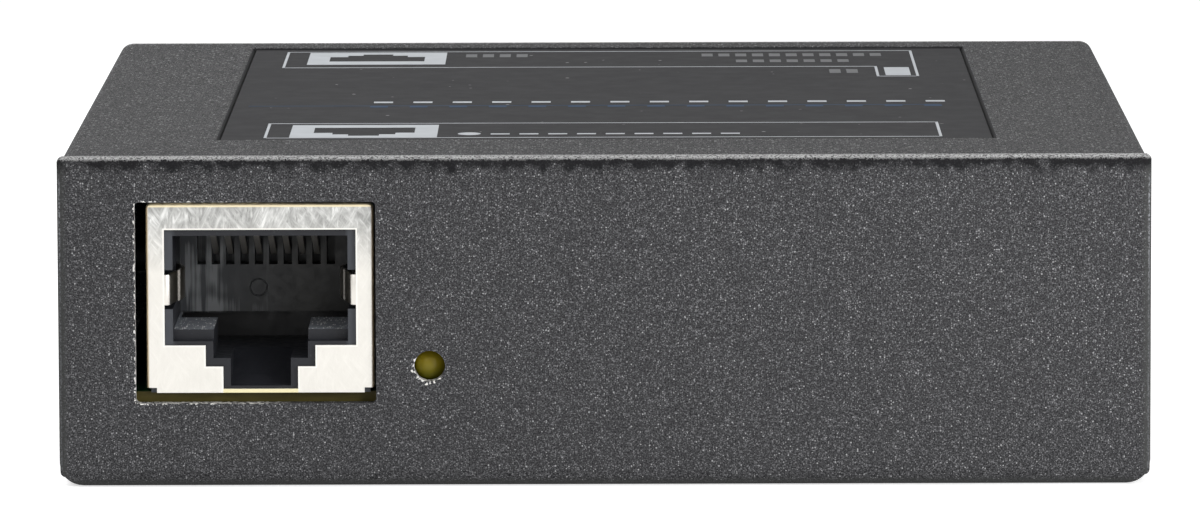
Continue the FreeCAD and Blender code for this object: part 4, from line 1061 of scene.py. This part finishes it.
def wall_ring(name, turn):
    """The small round mark that a moulding pin leaves on the socket's inner wall."""
    ring_radius, bead_radius = 0.6, 0.06
    ring_place = (-0.55, 11.1, 6.0)
    bead_steps, ring_steps = 8, 24
    shape = bmesh.new()
    bead = bmesh.ops.create_circle(shape, segments=bead_steps, radius=bead_radius)["verts"]
    bmesh.ops.translate(shape, vec=(ring_radius, 0, 0), verts=bead)
    spin_round(shape, bead, list({edge for vert in bead for edge in vert.link_edges}), ring_steps)
    bmesh.ops.translate(shape, vec=ring_place, verts=shape.verts)
    into_socket(shape, turn)
    smooth(finished_piece(name, shape, FINISHES["socket_plastic"]))


label_print()
indicator_lens()
for end, turn in (("front", 1), ("rear", -1)):
    socket_shield(end, turn)
    wall_ring(f"{end}_wall_ring", turn)


# Floor, light and camera

def pale_floor():
    """A plain pale floor that keeps the shadow and looks white from the camera."""
    half_width, gap = 3.0, 0.02 * MM
    material, tree, shader, where = start_material("pale floor", 0.9, specular=0.1)
    feed(tree, shader.inputs["Base Color"], (0.8, 0.8, 0.8))
    path = node(tree, "ShaderNodeLightPath").outputs
    glow = node(tree, "ShaderNodeEmission", {"Color": (1, 1, 1), "Strength": 0.6})
    lit = node(tree, "ShaderNodeAddShader", {0: shader.outputs["BSDF"], 1: glow.outputs["Emission"]})
    seen = largest(tree, path["Is Camera Ray"], path["Is Glossy Ray"])
    chosen = {0: seen, 1: shader.outputs["BSDF"], 2: lit.outputs["Shader"]}
    chosen = node(tree, "ShaderNodeMixShader", chosen).outputs["Shader"]
    feed(tree, tree.nodes["Material Output"].inputs["Surface"], chosen)
    shape = bmesh.new()
    bmesh.ops.create_grid(shape, x_segments=1, y_segments=1, size=half_width)
    bmesh.ops.translate(shape, vec=(0, 0, -gap), verts=shape.verts)
    floor = add_object("floor", shape, material)


def white_surroundings():
    """A white backdrop for the camera and for reflections, and a soft fill for everything else."""
    world = bpy.data.worlds.new("studio")
    world.use_nodes = True
    tree = world.node_tree
    path = node(tree, "ShaderNodeLightPath").outputs
    seen = largest(tree, *(path[f"Is {kind} Ray"] for kind in ("Camera", "Glossy", "Transmission")))
    strength = ramp(tree, seen, 0.0, 1.0, 0.35, 1.0)
    feed_all(tree, tree.nodes["Background"], {"Color": (1, 1, 1), "Strength": strength})
    bpy.context.scene.world = world


def soft_lamp(name, place, size, power):
    """A square soft box aimed at the middle of the case. Its place and size are in metres."""
    case_middle = Vector((0, 0, 0.01))
    data = bpy.data.lights.new(name, "AREA")
    data.size = size
    data.energy = power
    lamp = bpy.data.objects.new(name, data)
    lamp.location = place
    lamp.visible_camera = False
    lamp.rotation_euler = (case_middle - Vector(place)).to_track_quat("-Z", "Y").to_euler()
    bpy.context.scene.collection.objects.link(lamp)


def photograph_camera():
    """The camera at the photograph's place and angle."""
    yaw, pitch, roll = (math.radians(angle) for angle in (CAMERA_YAW, CAMERA_PITCH, CAMERA_ROLL))
    ahead = Vector((math.sin(yaw) * math.cos(pitch), math.cos(yaw) * math.cos(pitch), -math.sin(pitch)))
    right = Vector((math.cos(yaw), -math.sin(yaw), 0))
    up = right.cross(ahead)
    right, up = math.cos(roll) * right + math.sin(roll) * up, math.cos(roll) * up - math.sin(roll) * right
    data = bpy.data.cameras.new("camera")
    data.sensor_width = CAMERA_SENSOR
    data.lens = CAMERA_LENS
    data.clip_end = 20.0
    camera = bpy.data.objects.new("camera", data)
    turn = Matrix((right, up, -ahead)).transposed().to_4x4()
    camera.matrix_world = Matrix.Translation(Vector(CAMERA_PLACE) * MM) @ turn
    bpy.context.scene.collection.objects.link(camera)
    bpy.context.scene.camera = camera


pale_floor()
white_surroundings()
soft_lamp("overhead", (0.0, -0.15, 1.0), 0.7, 1.2)
soft_lamp("near left", (-0.17, 0.05, 0.18), 0.15, 0.28)
soft_lamp("near right", (0.17, -0.2, 0.1), 0.12, 0.41)
soft_lamp("front left", (-0.7, -1.1, 0.7), 0.7, 2.9)
soft_lamp("front right", (0.8, -1.1, 0.55), 0.7, 2.6)
photograph_camera()
bpy.context.scene.view_settings.view_transform = "Standard"
